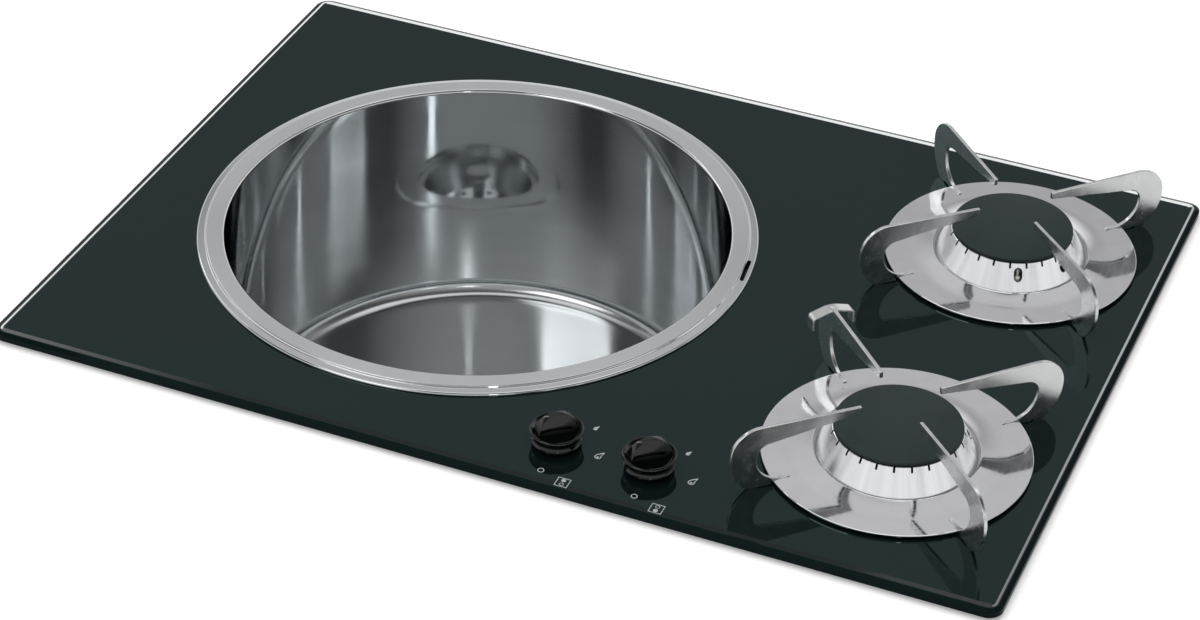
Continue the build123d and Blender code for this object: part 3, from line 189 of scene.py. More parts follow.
def makeGlass(name):
    material, tree, shader = newMaterial(name)
    coords = objectCoords(tree)
    cloud = addNoise(tree, coords, glass["cloud"])
    rough = addRange(tree, cloud, glass["roughLow"], glass["roughHigh"])
    tree.links.new(rough, shader.inputs["Roughness"])
    shader.inputs["IOR"].default_value = glass["ior"]
    # distance from the rounded edge of the plate
    low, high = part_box("glass_top")
    centre, half = (low + high) / 2, (high - low) / 2
    away = addVector(tree, "SUBTRACT", coords, (centre.x, centre.y, centre.z))
    inset = (half.x - rim["corner"], half.y - rim["corner"], 1.0)
    past = addVector(tree, "SUBTRACT", addVector(tree, "ABSOLUTE", away, None), inset)
    pastX, pastY, _ = addSplit(tree, past)
    inside = addMath(tree, "MINIMUM", addMath(tree, "MAXIMUM", pastX, pastY), 0.0)
    corner = addVector(tree, "MAXIMUM", past, (0.0, 0.0, 0.0))
    outside = addVector(tree, "LENGTH", corner, None, "Value")
    distance = addMath(tree, "SUBTRACT", rim["corner"], addMath(tree, "ADD", inside, outside))
    # where the rim lies, and which way it leans
    normal = tree.nodes.new("ShaderNodeNewGeometry").outputs["True Normal"]
    level = addRange(tree, addSplit(tree, normal)[2], 0.0, 1.0, 0.95, 0.99)
    onSide = addMath(tree, "GREATER_THAN", pastX, pastY)
    begun = addMath(tree, "GREATER_THAN", distance, rim["start"])
    ended = addMath(tree, "LESS_THAN", distance, addMix(tree, onSide, rim["end"], rim["sideEnd"]))
    onRim = addMath(tree, "MULTIPLY", addMath(tree, "MULTIPLY", begun, ended), level)
    way = addVector(tree, "SIGN", away, None)
    lengthwise = addVector(tree, "MULTIPLY", way, (0.0, rim["lean"], 0.0))
    crosswise = addVector(tree, "MULTIPLY", way, (rim["lean"], 0.0, 0.0))
    lean = addVector(tree, "MULTIPLY", addMix(tree, onSide, lengthwise, crosswise, "VECTOR"), onRim)
    leaning = addVector(tree, "NORMALIZE", addVector(tree, "ADD", normal, lean), None)
    tree.links.new(leaning, shader.inputs["Normal"])
    facing = tree.nodes.new("ShaderNodeLayerWeight")
    tree.links.new(leaning, facing.inputs["Normal"])
    paintedRimHighlight = addRange(
        tree, facing.outputs["Facing"], 0.0, rim["strength"], rim["facingLow"], rim["facingHigh"]
    )
    # painted highlight: the rim band turns white and metallic where it is seen at a low angle, dark where
    # it faces the view
    bright = addMath(tree, "MULTIPLY", onRim, paintedRimHighlight)
    tree.links.new(bright, shader.inputs["Metallic"])
    plain = addBlend(tree, cloud, glass["dark"], glass["light"])
    colour = addMix(tree, bright, plain, rim["colour"], "RGBA")
    tree.links.new(colour, shader.inputs["Base Color"])
    tint = addMix(tree, onRim, glass["tint"], rim["tint"], "RGBA")
    tree.links.new(tint, shader.inputs["Specular Tint"])
    gloss = addRange(tree, level, glass["bevelGloss"], glass["gloss"], 0.0, 1.0)
    tree.links.new(gloss, shader.inputs["Specular IOR Level"])
    return material


# cone: brushed from its foot to its top, so the streaks fan out from the axis
skirtSteel = {
    "dark": (0.72, 0.73, 0.74), "light": (0.88, 0.89, 0.90), "streaks": 9,
    "roughLow": 0.20, "roughHigh": 0.26, "brush": 0.6,
}


def makeSkirtSteel(name):
    material, tree, shader = newMaterial(name)
    outward = attributeOf(tree, "outward", "Vector")
    streaks = addNoise(tree, outward, skirtSteel["streaks"], detail=3.0)
    shader.inputs["Metallic"].default_value = 1.0
    colour = addBlend(tree, streaks, skirtSteel["dark"], skirtSteel["light"])
    tree.links.new(colour, shader.inputs["Base Color"])
    rough = addRange(tree, streaks, skirtSteel["roughLow"], skirtSteel["roughHigh"])
    tree.links.new(rough, shader.inputs["Roughness"])
    sideways = addVector(tree, "CROSS_PRODUCT", (0.0, 0.0, 1.0), outward)
    tree.links.new(sideways, shader.inputs["Tangent"])
    shader.inputs["Anisotropic"].default_value = skirtSteel["brush"]
    return material


# spill disc: mirror plate with faint turning marks
discSteel = {
    "dark": (0.77, 0.77, 0.79), "light": (0.83, 0.83, 0.85), "cloud": 40, "marks": 500,
    "roughLow": 0.05, "roughHigh": 0.10,
}


def makeDiscSteel(name):
    material, tree, shader = newMaterial(name)
    cloud = addNoise(tree, objectCoords(tree), discSteel["cloud"])
    marks = addNoise(tree, attributeOf(tree, "reach", "Vector"), discSteel["marks"], detail=2.0)
    shader.inputs["Metallic"].default_value = 1.0
    colour = addBlend(tree, cloud, discSteel["dark"], discSteel["light"])
    tree.links.new(colour, shader.inputs["Base Color"])
    rough = addRange(tree, marks, discSteel["roughLow"], discSteel["roughHigh"])
    tree.links.new(rough, shader.inputs["Roughness"])
    return material


# bowl: mirror finish on the wall and the lip, turned satin finish on the floor and on the raised band
bowlSteel = {
    "dark": (0.60, 0.62, 0.63), "light": (0.66, 0.68, 0.69),
    "cloud": 9, "cloudStretch": (1, 1, 5), "marks": 900,
    "wallRough": (0.04, 0.07), "bandRough": (0.30, 0.36), "floorRough": 0.21, "bandBrush": 0.8,
    "bandStart": 0.0037, "bandBlend": 0.0004, "floorEnd": -0.176, "floorBlend": 0.004,
    "waves": 7, "waveStrength": 0.18, "waveDepth": 0.003,
}


def makeBowlSteel(name):
    material, tree, shader = newMaterial(name)
    coords = objectCoords(tree)
    cloud = addNoise(tree, coords, bowlSteel["cloud"], bowlSteel["cloudStretch"])
    marks = addNoise(tree, attributeOf(tree, "reach", "Vector"), bowlSteel["marks"], detail=2.0)
    shader.inputs["Metallic"].default_value = 1.0
    colour = addBlend(tree, cloud, bowlSteel["dark"], bowlSteel["light"])
    tree.links.new(colour, shader.inputs["Base Color"])
    height = addSplit(tree, coords)[2]
    bandStart = glassTop + bowlSteel["bandStart"]
    floorEnd = glassTop + bowlSteel["floorEnd"]
    onBand = addRange(tree, height, 0.0, 1.0, bandStart, bandStart + bowlSteel["bandBlend"])
    onFloor = addRange(tree, height, 1.0, 0.0, floorEnd, floorEnd + bowlSteel["floorBlend"])
    wallRough = addRange(tree, cloud, *bowlSteel["wallRough"])
    bandRough = addRange(tree, marks, *bowlSteel["bandRough"])
    rough = addMix(tree, onBand, wallRough, bandRough)
    tree.links.new(addMix(tree, onFloor, rough, bowlSteel["floorRough"]), shader.inputs["Roughness"])
    tree.links.new(addMix(tree, onBand, 0.0, bowlSteel["bandBrush"]), shader.inputs["Anisotropic"])
    tree.links.new(attributeOf(tree, "outward", "Vector"), shader.inputs["Tangent"])
    waves = addMix(tree, onBand, addNoise(tree, coords, bowlSteel["waves"], detail=1.0), 0.5)
    addBump(tree, waves, shader, bowlSteel["waveStrength"], bowlSteel["waveDepth"])
    return material


# plain finishes: dark and light tone, roughness from and to, scale of the grain, its bump and its stretch
metals = {
    "blade_steel": ((0.64, 0.65, 0.65), (0.74, 0.75, 0.75), 0.20, 0.30, 90),
    "coated_sheet": ((0.45, 0.47, 0.49), (0.62, 0.64, 0.66), 0.28, 0.45, 70),
    "bright_screws": ((0.55, 0.55, 0.56), (0.66, 0.66, 0.67), 0.20, 0.30, 300),
    "cast_aluminium": ((0.50, 0.50, 0.50), (0.60, 0.60, 0.60), 0.40, 0.55, 500, 0.3),
    "brass": ((0.62, 0.44, 0.18), (0.72, 0.54, 0.26), 0.20, 0.32, 200),
    "turned_steel": ((0.56, 0.56, 0.57), (0.66, 0.66, 0.67), 0.18, 0.28, 300, 0.0, (1, 1, 8)),
    "plated_can": ((0.60, 0.60, 0.60), (0.70, 0.70, 0.70), 0.15, 0.25, 200),
    "pipe_aluminium": ((0.58, 0.58, 0.59), (0.68, 0.68, 0.69), 0.25, 0.38, 150),
    "pipe_steel": ((0.50, 0.51, 0.52), (0.62, 0.63, 0.64), 0.25, 0.38, 150),
}
coats = {
    "black_enamel": ((0.002, 0.012, 0.012), (0.005, 0.016, 0.016), 0.56, 0.68, 900, 0.15),
    "knob_plastic": ((0.0010, 0.0014, 0.0013), (0.0016, 0.0020, 0.0019), 0.06, 0.10, 300),
    "seal_rubber": ((0.020, 0.020, 0.020), (0.030, 0.030, 0.030), 0.70, 0.85, 400, 0.2),
    "ceramic_white": ((0.70, 0.68, 0.64), (0.80, 0.78, 0.74), 0.40, 0.55, 500),
    "waste_plastic": ((0.70, 0.70, 0.68), (0.76, 0.76, 0.74), 0.35, 0.50, 250, 0.05),
    "pipe_plastic": ((0.36, 0.37, 0.38), (0.42, 0.43, 0.44), 0.40, 0.55, 250, 0.05),
    "igniter_plastic": ((0.03, 0.03, 0.03), (0.045, 0.045, 0.045), 0.45, 0.60, 300, 0.05),
    "print_white": ((0.34, 0.37, 0.37), (0.42, 0.45, 0.45), 0.45, 0.60, 800),
}
grainDepth = {"metal": 0.0002, "coat": 0.0003}
look = {
    "black_glass": makeGlass("black_glass"),
    "polished_steel": makeBowlSteel("polished_steel"),
    "mirror_steel": makeDiscSteel("mirror_steel"),
    "skirt_steel": makeSkirtSteel("skirt_steel"),
}
for name, finish in metals.items():
    look[name] = makeGrained(name, 1.0, grainDepth["metal"], *finish)
for name, finish in coats.items():
    look[name] = makeGrained(name, 0.0, grainDepth["coat"], *finish)
slotOf = {entry["node"]: entry["material_slot"] for entry in frame["record"]["subparts"]}
for name, node in nodes.items():
    node.data.materials.clear()
    node.data.materials.append(look[slotOf[name]])
print("materials made:", len(look))


# Mesh helpers: outlines are in millimetres, heights count from the face of the glass
def rounded(points, radii, steps=6):
    # open line through the points with its corners rounded
    out = [Vector(points[0])]
    for before, corner, after, radius in zip(points, points[1:], points[2:], radii):
        here = Vector(corner)
        backward = (Vector(before) - here).normalized()
        forward = (Vector(after) - here).normalized()
        half = backward.angle(forward) / 2
        centre = here + (backward + forward).normalized() * (radius / math.sin(half))
        start = here + backward * (radius / math.tan(half)) - centre
        end = here + forward * (radius / math.tan(half)) - centre
        turn = start.angle_signed(end)
        for i in range(steps + 1):
            out.append(centre + Matrix.Rotation(-turn * i / steps, 2) @ start)
    out.append(Vector(points[-1]))
    return out


def arcThrough(first, mid, last, steps=10):
    # points after the first one on the arc through three points
    a, b, c = Vector(first), Vector(mid), Vector(last)
    d = 2 * (a.x * (b.y - c.y) + b.x * (c.y - a.y) + c.x * (a.y - b.y))
    far = [p.length_squared for p in (a, b, c)]
    centre = Vector((
        (far[0] * (b.y - c.y) + far[1] * (c.y - a.y) + far[2] * (a.y - b.y)) / d,
        (far[0] * (c.x - b.x) + far[1] * (a.x - c.x) + far[2] * (b.x - a.x)) / d,
    ))
    start = a - centre
    turn = start.angle_signed(b - centre) + (b - centre).angle_signed(c - centre)
    return [centre + Matrix.Rotation(-turn * (i + 1) / steps, 2) @ start for i in range(steps)]


def tangentArc(first, tangent, last, steps=10):
    # points after the first one on the arc that leaves it along the tangent
    a, t, c = Vector(first), Vector(tangent).normalized(), Vector(last)
    chord = c - a
    normal = Vector((-t.y, t.x))
    radius = chord.length_squared / (2 * chord.dot(normal))
    centre = a + normal * radius
    turn = 2 * t.angle_signed(chord)
    return [centre + Matrix.Rotation(-turn * (i + 1) / steps, 2) @ (a - centre) for i in range(steps)]


def circle(radius, steps=32):
    turns = [math.tau * i / steps for i in range(steps)]
    return [(radius * math.cos(a), radius * math.sin(a)) for a in turns]


def bar(start, end, width):
    half = width / 2
    return [(start, -half), (end, -half), (end, half), (start, half)]


def longHole(length, width, steps):
    # round-ended outline along X
    half = width / 2
    reach = length / 2 - half
    out = []
    for at, way in ((reach, 1), (-reach, -1)):
        for i in range(steps + 1):
            a = math.pi * i / steps - math.pi / 2
            out.append((at + way * half * math.cos(a), way * half * math.sin(a)))
    return out


def thickened(points, thickness):
    # closed outline of a sheet to the right of an open line
    other = []
    for i, point in enumerate(points):
        run = points[min(i + 1, len(points) - 1)] - points[max(i - 1, 0)]
        normal = Vector((run.y, -run.x)).normalized()
        other.append(point + normal * thickness)
    return points + other[::-1]


def faceOutwards(bm):
    bmesh.ops.recalc_face_normals(bm, faces=bm.faces)
    if bm.calc_volume(signed=True) < 0:
        bmesh.ops.reverse_faces(bm, faces=bm.faces)


def steadied(outline, closed, gap=0.25, least=2.0):
    # outline with points close to the ends of its long runs, so that flat faces keep their own normals
    out = []
    ends = outline[1:] + ([outline[0]] if closed else [])
    for first, second in zip(outline, ends):
        out.append(first)
        run = second - first
        if run.length > least:
            step = run.normalized() * gap
            out += [first + step, second - step]
    return out if closed else out + [outline[-1]]


def spun(outline, centre, closed=True, steps=192):
    # outline of (radius, height) turned round a vertical axis
    bm = bmesh.new()
    axisSpot = Vector((centre.x, centre.y, glassTop))
    line = steadied([Vector(p) for p in outline], closed)
    verts = [bm.verts.new(axisSpot + Vector((mm(r), 0, mm(z)))) for r, z in line]
    edges = [bm.edges.new(pair) for pair in zip(verts, verts[1:])]
    if closed:
        edges.append(bm.edges.new((verts[-1], verts[0])))
    bmesh.ops.spin(
        bm, geom=verts + edges, cent=axisSpot, axis=(0, 0, 1), angle=math.tau, steps=steps, use_merge=True
    )
    bmesh.ops.remove_doubles(bm, verts=bm.verts, dist=1e-6)
    faceOutwards(bm)
    return bm


def prism(outline, spot, low, high):
    # outline in the XY plane of a placing matrix, solid from low to high along its Z
    bm = bmesh.new()
    face = bm.faces.new([bm.verts.new((mm(x), mm(y), mm(low))) for x, y in outline])
    made = bmesh.ops.extrude_face_region(bm, geom=[face])
    moved = [v for v in made["geom"] if isinstance(v, bmesh.types.BMVert)]
    bmesh.ops.translate(bm, verts=moved, vec=(0, 0, mm(high - low)))
    bm.transform(spot)
    faceOutwards(bm)
    return bm


def sheet(loops, spot, low, high):
    # plate inside the first loop and outside the second
    bm = bmesh.new()
    edges = []
    for loop in loops:
        verts = [bm.verts.new((mm(x), mm(y), mm(low))) for x, y in loop]
        edges += [bm.edges.new((verts[i - 1], verts[i])) for i in range(len(verts))]
    filled = bmesh.ops.triangle_fill(bm, edges=edges, use_beauty=True)
    faces = [g for g in filled["geom"] if isinstance(g, bmesh.types.BMFace)]
    made = bmesh.ops.extrude_face_region(bm, geom=faces)
    moved = [v for v in made["geom"] if isinstance(v, bmesh.types.BMVert)]
    bmesh.ops.translate(bm, verts=moved, vec=(0, 0, mm(high - low)))
    bm.transform(spot)
    faceOutwards(bm)
    return bm


def standing(centre, angle):
    # placing matrix: X outwards at the angle, Y up from the glass, Z across
    a = math.radians(angle)
    return Matrix((
        (math.cos(a), 0, math.sin(a), centre.x),
        (math.sin(a), 0, -math.cos(a), centre.y),
        (0, 1, 0, glassTop),
        (0, 0, 0, 1),
    ))


def lying(centre, angle):
    # placing matrix: level with the glass, turned by the angle
    spot = Vector((centre.x, centre.y, glassTop))
    return Matrix.Translation(spot) @ Matrix.Rotation(math.radians(angle), 4, "Z")


def around(centre, angle, radius):
    a = math.radians(angle)
    return centre + Vector((math.cos(a), math.sin(a), 0)) * mm(radius)


def joined(parts):
    whole = bmesh.new()
    for part in parts:
        mesh = bpy.data.meshes.new("part")
        part.to_mesh(mesh)
        part.free()
        whole.from_mesh(mesh)
        bpy.data.meshes.remove(mesh)
    return whole


def bevelled(bm, width, segments=2, angle=40):
    # rounds every edge sharper than the angle
    sharp = [e for e in bm.edges if e.is_manifold and e.calc_face_angle() > math.radians(angle)]
    bmesh.ops.bevel(
        bm, geom=sharp, offset=mm(width), offset_type="OFFSET", affect="EDGES", segments=segments,
        profile=0.5, clamp_overlap=True, material=-1,
    )
    return bm


def cutFrom(bm, cutter):
    # the first mesh with the second taken out of it
    holders = []
    for source in (bm, cutter):
        mesh = bpy.data.meshes.new("cut")
        source.to_mesh(mesh)
        source.free()
        holder = bpy.data.objects.new("cut", mesh)
        bpy.context.scene.collection.objects.link(holder)
        holders.append(holder)
    modifier = holders[0].modifiers.new("cut", "BOOLEAN")
    modifier.operation = "DIFFERENCE"
    modifier.solver = "EXACT"
    modifier.object = holders[1]
    bpy.context.view_layer.update()
    evaluated = holders[0].evaluated_get(bpy.context.evaluated_depsgraph_get())
    mesh = bpy.data.meshes.new_from_object(evaluated)
    out = bmesh.new()
    out.from_mesh(mesh)
    for holder in holders:
        old = holder.data
        bpy.data.objects.remove(holder)
        bpy.data.meshes.remove(old)
    bpy.data.meshes.remove(mesh)
    return out


def markTurned(mesh, centre):
    # direction away from the axis, and the way along the section, for finishes that follow the lathe
    outward = mesh.attributes.new("outward", "FLOAT_VECTOR", "POINT")
    reach = mesh.attributes.new("reach", "FLOAT_VECTOR", "POINT")
    for vertex, way, run in zip(mesh.vertices, outward.data, reach.data):
        arm = Vector((vertex.co.x - centre.x, vertex.co.y - centre.y, 0))
        way.vector = arm.normalized()
        run.vector = (arm.length, vertex.co.z, 0)


def place(name, bm, slot, body, replaced=(), material=None, centre=None, sharp=20):
    # finished piece: its look, the body it rides on and the CAD nodes it stands for
    mesh = bpy.data.meshes.new(name)
    bm.to_mesh(mesh)
    bm.free()
    mesh.materials.clear()
    mesh.materials.append(look[material or slot])
    mesh.shade_smooth()
    mesh.set_sharp_from_angle(angle=math.radians(sharp))
    if centre:
        markTurned(mesh, centre)
    piece = bpy.data.objects.new(name, mesh)
    bpy.context.scene.collection.objects.link(piece)
    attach(piece, body)
    if replaced:
        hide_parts(*replaced)
    return piece


# Sink bowl: one sheet with a stepped ring, straight wall and dished floor
bowl = {
    "ring": 200.0, "lipGap": 0.3, "lipTop": 2.1, "ledge": 2.6, "step": 194.2, "stepRun": 1.0, "band": 4.2,
    "wall": 180.0, "draft": 1.0, "depth": 180.0, "fall": 3.0, "seat": 63.0, "hole": 45.0, "sheet": 0.8,
    "radii": (1.6, 1.1, 1.1, 2.6, 12.0, 12.0),
    "slotAngle": 7.6, "slotRadius": 195.5, "slotLength": 26.0, "slotWidth": 3.0,
}


def makeBowl():
    line = rounded(
        [
            (bowl["ring"], bowl["lipGap"]),
            (bowl["ring"], bowl["lipTop"]),
            (bowl["step"], bowl["ledge"]),
            (bowl["step"] - bowl["stepRun"], bowl["band"]),
            (bowl["wall"], bowl["band"]),
            (bowl["wall"] - bowl["draft"], -bowl["depth"]),
            (bowl["seat"], -bowl["depth"] - bowl["fall"]),
            (bowl["hole"], -bowl["depth"] - bowl["fall"]),
        ],
        bowl["radii"],
        10,
    )
    shell = spun(thickened(line, -bowl["sheet"]), bowlCentre, steps=256)
    slot = longHole(bowl["slotLength"], bowl["slotWidth"], 8)
    spot = around(bowlCentre, bowl["slotAngle"], bowl["slotRadius"])
    cutter = prism(slot, lying(spot, bowl["slotAngle"] + 90), 0.0, bowl["band"] + 4)
    place("bowl", cutFrom(shell, cutter), "polished_steel", "plate", ["sink_bowl"], centre=bowlCentre)


makeBowl()
print("bowl made")

# Burners: spill disc with slots, notched cone, domed cap and four C-shaped blades
disc = {
    "radius": 88.9, "hole": 54.6, "under": 2.0, "top": 3.2, "edge": 0.4,
    "sweepWidth": 17.4, "sweepHeight": 1.6, "slotStart": 76.95, "slotWidth": 2.6,
}
skirt = {
    "foot": 53.5, "low": 2.0, "top": 42.9, "high": 21.6, "inner": 40.15, "sheet": 0.9,
    "edgeOut": 0.15, "edgeIn": 0.25, "edgeDrop": 0.3,
    "notches": 24, "notchWidth": 1.5, "notchLow": 18.2, "windowLevel": 14.4,
    "windowWidth": 6.0, "windowHeight": 9.0, "windowAngles": (67.5, 24.0),
    "windowSide": {"front": 1, "back": -1},
}
cap = {
    "base": 22.0, "radius": 42.4, "edge": 2.2, "crown": 4.6, "edgeRound": 0.9, "edgeFall": 0.29,
    "underEdge": 0.3,
    "lipOuter": 36.25, "lipWidth": 1.5, "lipDepth": 3.0,
}
blade = {
    "count": 4, "turn": 45.0, "thickness": 2.5, "tip": 28.5, "tipTop": 45.6, "tipHeight": 4.8,
    "shoulder": (99.0, 47.6), "bulge": (119.8, 26.0), "footOuter": 106.5, "footInner": 101.5,
    "tongue": 1.2, "seat": 77.0, "tongueTop": 4.2, "throat": (101.6, 23.5), "armRoot": (94.0, 33.3),
    "edge": 0.35,
}
# arched strip across the shoulder of one blade
saddle = {
    "blade": ("front", 1), "radius": 104.0, "width": 8.0, "halfSpan": 15.5, "foot": 33.5, "shoulder": 43.0,
    "top": 47.6, "sheet": 1.5, "radii": (3.0, 20.0, 3.0), "edge": 0.3,
}


def bladeAngle(number):
    return blade["turn"] + 360 * number / blade["count"]


def makeDisc(side):
    centre = burnerCentre[side]
    hole, top, edge = disc["hole"], disc["top"], disc["edge"]
    sweepStart = (hole + disc["sweepWidth"], top)
    sweepTop = top + disc["sweepHeight"]
    outline = [
        (hole, disc["under"]),
        (disc["radius"], disc["under"]),
        (disc["radius"], top - edge),
        (disc["radius"] - 0.3 * edge, top - 0.3 * edge),
        (disc["radius"] - edge, top),
        sweepStart,
    ]
    outline += tangentArc(sweepStart, (-1, 0), (hole, sweepTop), 24)[:-1]
    outline += [(hole + 0.2 * edge, sweepTop - 0.3 * edge), (hole, sweepTop - edge)]
    plate = spun(outline, centre, steps=256)
    slot = bar(disc["slotStart"], disc["radius"] + 2, disc["slotWidth"])
    slots = [
        prism(slot, lying(centre, bladeAngle(i)), disc["under"] - 1, top + 1) for i in range(blade["count"])
    ]
    plate = cutFrom(plate, joined(slots))
    body, node = f"pan_stand_{side}", f"spill_disc_{side}"
    place(f"spillDisc_{side}", plate, "mirror_steel", body, [node], centre=centre)


def makeSkirt(side):
    centre = burnerCentre[side]
    outline = [
        (skirt["foot"], skirt["low"]),
        (skirt["top"] + skirt["edgeOut"], skirt["high"] - skirt["edgeDrop"]),
        (skirt["top"] - skirt["edgeIn"], skirt["high"]),
        (skirt["inner"], skirt["high"]),
        (skirt["inner"], skirt["high"] - skirt["sheet"]),
        (skirt["top"] - skirt["sheet"] / 2, skirt["high"] - skirt["sheet"]),
        (skirt["foot"] - skirt["sheet"], skirt["low"]),
    ]
    cone = spun(outline, centre, steps=240)
    notch = bar(skirt["inner"] - 1, skirt["top"] + 4, skirt["notchWidth"])
    cutters = [
        prism(notch, lying(centre, 360 * i / skirt["notches"]), skirt["notchLow"], skirt["high"] + 2)
        for i in range(skirt["notches"])
    ]
    hole = longHole(skirt["windowHeight"], skirt["windowWidth"], 12)
    window = [(-y, x + skirt["windowLevel"]) for x, y in hole]
    for angle in skirt["windowAngles"]:
        turned = standing(centre, angle * skirt["windowSide"][side] - 90)
        cutters.append(prism(window, turned, -skirt["foot"] - 4, -skirt["inner"] - 1))
    cone = cutFrom(cone, joined(cutters))
    place(f"skirt_{side}", cone, "skirt_steel", "plate", [f"burner_skirt_{side}"], centre=centre)


def makeCap(side):
    base, radius, bend = cap["base"], cap["radius"], cap["edgeRound"]
    lipInner, lipOuter = cap["lipOuter"] - cap["lipWidth"], cap["lipOuter"]
    lipLow, edgeTop, crown = base - cap["lipDepth"], base + cap["edge"], base + cap["crown"]
    outline = [(0, base), (lipInner, base), (lipInner, lipLow), (lipOuter, lipLow), (lipOuter, base)]
    outline += [(radius - cap["underEdge"], base), (radius, base + cap["underEdge"])]
    start, end = (radius, edgeTop - bend), (radius - bend, edgeTop)
    fall = cap["edgeFall"] * bend  # how far the middle of the round edge falls back
    outline += [start]
    outline += arcThrough(start, (radius - fall, edgeTop - fall), end, 5)
    dome = tangentArc((0, crown), (1, 0), end, 14)
    outline += dome[-2::-1] + [Vector((0, crown))]
    dish = spun(outline, burnerCentre[side], closed=False)
    place(f"cap_{side}", dish, "black_enamel", f"cap_{side}", [f"burner_cap_{side}"])


def bladeOutline():
    tipTop = (blade["tip"], blade["tipTop"])
    shoulder, bulge, throat = blade["shoulder"], blade["bulge"], blade["throat"]
    lift = (blade["footOuter"] - blade["footInner"] + blade["tongue"]) / 2
    seat = (blade["seat"], blade["tongueTop"])
    run = Vector(shoulder) - Vector(tipTop)
    outline = [(blade["tip"], blade["tipTop"] - blade["tipHeight"]), tipTop, shoulder]
    outline += tangentArc(shoulder, run, bulge, 14)
    outline += tangentArc(bulge, (0, -1), (blade["footOuter"], 0), 14)
    outline += [(blade["footInner"], 0), (blade["footInner"] - lift, blade["tongue"])]
    outline += [(blade["seat"], blade["tongue"]), seat]
    outline += tangentArc(throat, (0, -1), seat, 14)[-2::-1]
    outline += [throat]
    outline += tangentArc(throat, (0, 1), blade["armRoot"], 8)
    return [Vector(p) for p in outline]


def saddleStrip(centre, angle):
    half = saddle["halfSpan"]
    line = rounded(
        [
            (-half, saddle["foot"]),
            (-half, saddle["shoulder"]),
            (0, saddle["top"]),
            (half, saddle["shoulder"]),
            (half, saddle["foot"]),
        ],
        saddle["radii"],
    )
    spot = standing(around(centre, angle, saddle["radius"]), angle + 90)
    strip = prism(thickened(line, saddle["sheet"]), spot, -saddle["width"] / 2, saddle["width"] / 2)
    return bevelled(strip, saddle["edge"])


def makeBlades(side):
    centre = burnerCentre[side]
    half = blade["thickness"] / 2
    for i in range(blade["count"]):
        angle = bladeAngle(i)
        plate = bevelled(prism(bladeOutline(), standing(centre, angle), -half, half), blade["edge"])
        if (side, i) == saddle["blade"]:
            plate = joined([plate, saddleStrip(centre, angle)])
        node = f"blade_{side}_{i + 1}"
        place(f"{node}_plate", plate, "blade_steel", f"pan_stand_{side}", [node])


for side in sides:
    makeDisc(side)
    makeSkirt(side)
    makeCap(side)
    makeBlades(side)
print("burners made")

# Knobs: waisted body with a flared rim and dished top, and an arched grip with rounded edges
knob = {
    "gap": 3.6, "foot": 16.6, "neck": (15.2, 7.4), "rim": (18.1, 11.4), "rimThickness": 1.2,
    "rimWidth": 1.6, "dish": 11.0, "recess": 13.0, "recessTop": 7.6, "bore": 3.1, "boreTop": 17.8,
    "gripAngle": 44.0, "gripHalf": 14.6, "gripTop": 24.6, "gripFoot": 10.0, "gripCrest": 4.0,
    "gripSink": 0.5, "edge": 0.7,
}


def makeGrip(centre):
    half, low = knob["gripHalf"], knob["dish"] - knob["gripSink"]
    arch = [(-half, low), (-half, knob["dish"])]
    arch += arcThrough((-half, knob["dish"]), (0, knob["gripTop"]), (half, knob["dish"]), 28)
    arch += [(half, low)]
    grip = prism(arch, standing(centre, knob["gripAngle"]), -knob["gripFoot"] / 2, knob["gripFoot"] / 2)
    a = math.radians(knob["gripAngle"])
    across = Vector((math.sin(a), -math.cos(a), 0))
    taper = (1 - knob["gripCrest"] / knob["gripFoot"]) / (knob["gripTop"] - knob["dish"])
    for vertex in grip.verts:
        rise = max((vertex.co.z - glassTop) * 1000 - knob["dish"], 0)
        offset = (vertex.co - centre).dot(across)
        vertex.co -= across * (offset * taper * rise)
    bevelled(grip, knob["edge"], 3, 50)
    socket = prism(circle(knob["bore"]), lying(centre, 0), low - 2, knob["boreTop"])
    return cutFrom(grip, socket)


def makeKnob(side):
    centre = knobCentre[side]
    radius, level = knob["rim"]
    top, width = level + knob["rimThickness"], knob["rimWidth"]
    outline = [(knob["bore"], knob["recessTop"]), (knob["recess"], knob["recessTop"])]
    outline += [(knob["recess"], knob["gap"]), (knob["foot"], knob["gap"])]
    outline += arcThrough((knob["foot"], knob["gap"]), knob["neck"], knob["rim"], 12)
    edge = (radius - width / 4, top - knob["rimThickness"] / 4)
    outline += arcThrough(knob["rim"], edge, (radius - width / 2, top), 6)
    outline += [(radius - width, top), (radius - 2 * width, knob["dish"]), (knob["bore"], knob["dish"])]
    body = spun(outline, centre, steps=128)
    whole = joined([body, makeGrip(centre)])
    place(f"knob_{side}_shell", whole, "knob_plastic", f"knob_{side}", [f"knob_{side}"])


for side in sides:
    makeKnob(side)
print("knobs made")

# Signs printed on the glass round each knob: off ring, burner square, small and large flame
sign = {
    "lift": 0.02, "thickness": 0.04, "off": (2.2, -30.4), "offRadius": 2.3, "offStroke": 0.7,
    "square": (20.0, -36.3), "squareSize": 9.0, "squareStroke": 0.6, "dotShift": 2.0, "dotRadius": 1.6,
    "dotStroke": 0.5, "small": (17.3, 24.2), "smallSize": 1.5, "large": (30.3, -2.4), "largeSize": 2.4,
    "flameStroke": 0.75, "flameCore": 0.85, "coreDrop": 0.5,
}


def printed(loops, centre, spot):
    moved = [[(spot[0] + x, spot[1] + y) for x, y in loop] for loop in loops]
    return sheet(moved, lying(centre, 0), sign["lift"], sign["lift"] + sign["thickness"])


def flame(size):
    # drop with a bent tip
    turns = [math.radians(a) for a in range(140, 401, 20)]
    drop = [(size * math.cos(a), size * math.sin(a)) for a in turns]
    tip = [(1.05, 1.5), (1.15, 2.4), (0.25, 1.75), (-0.45, 1.15)]
    return drop + [(size * x, size * y) for x, y in tip]


def square(size):
    return bar(-size / 2, size / 2, size)


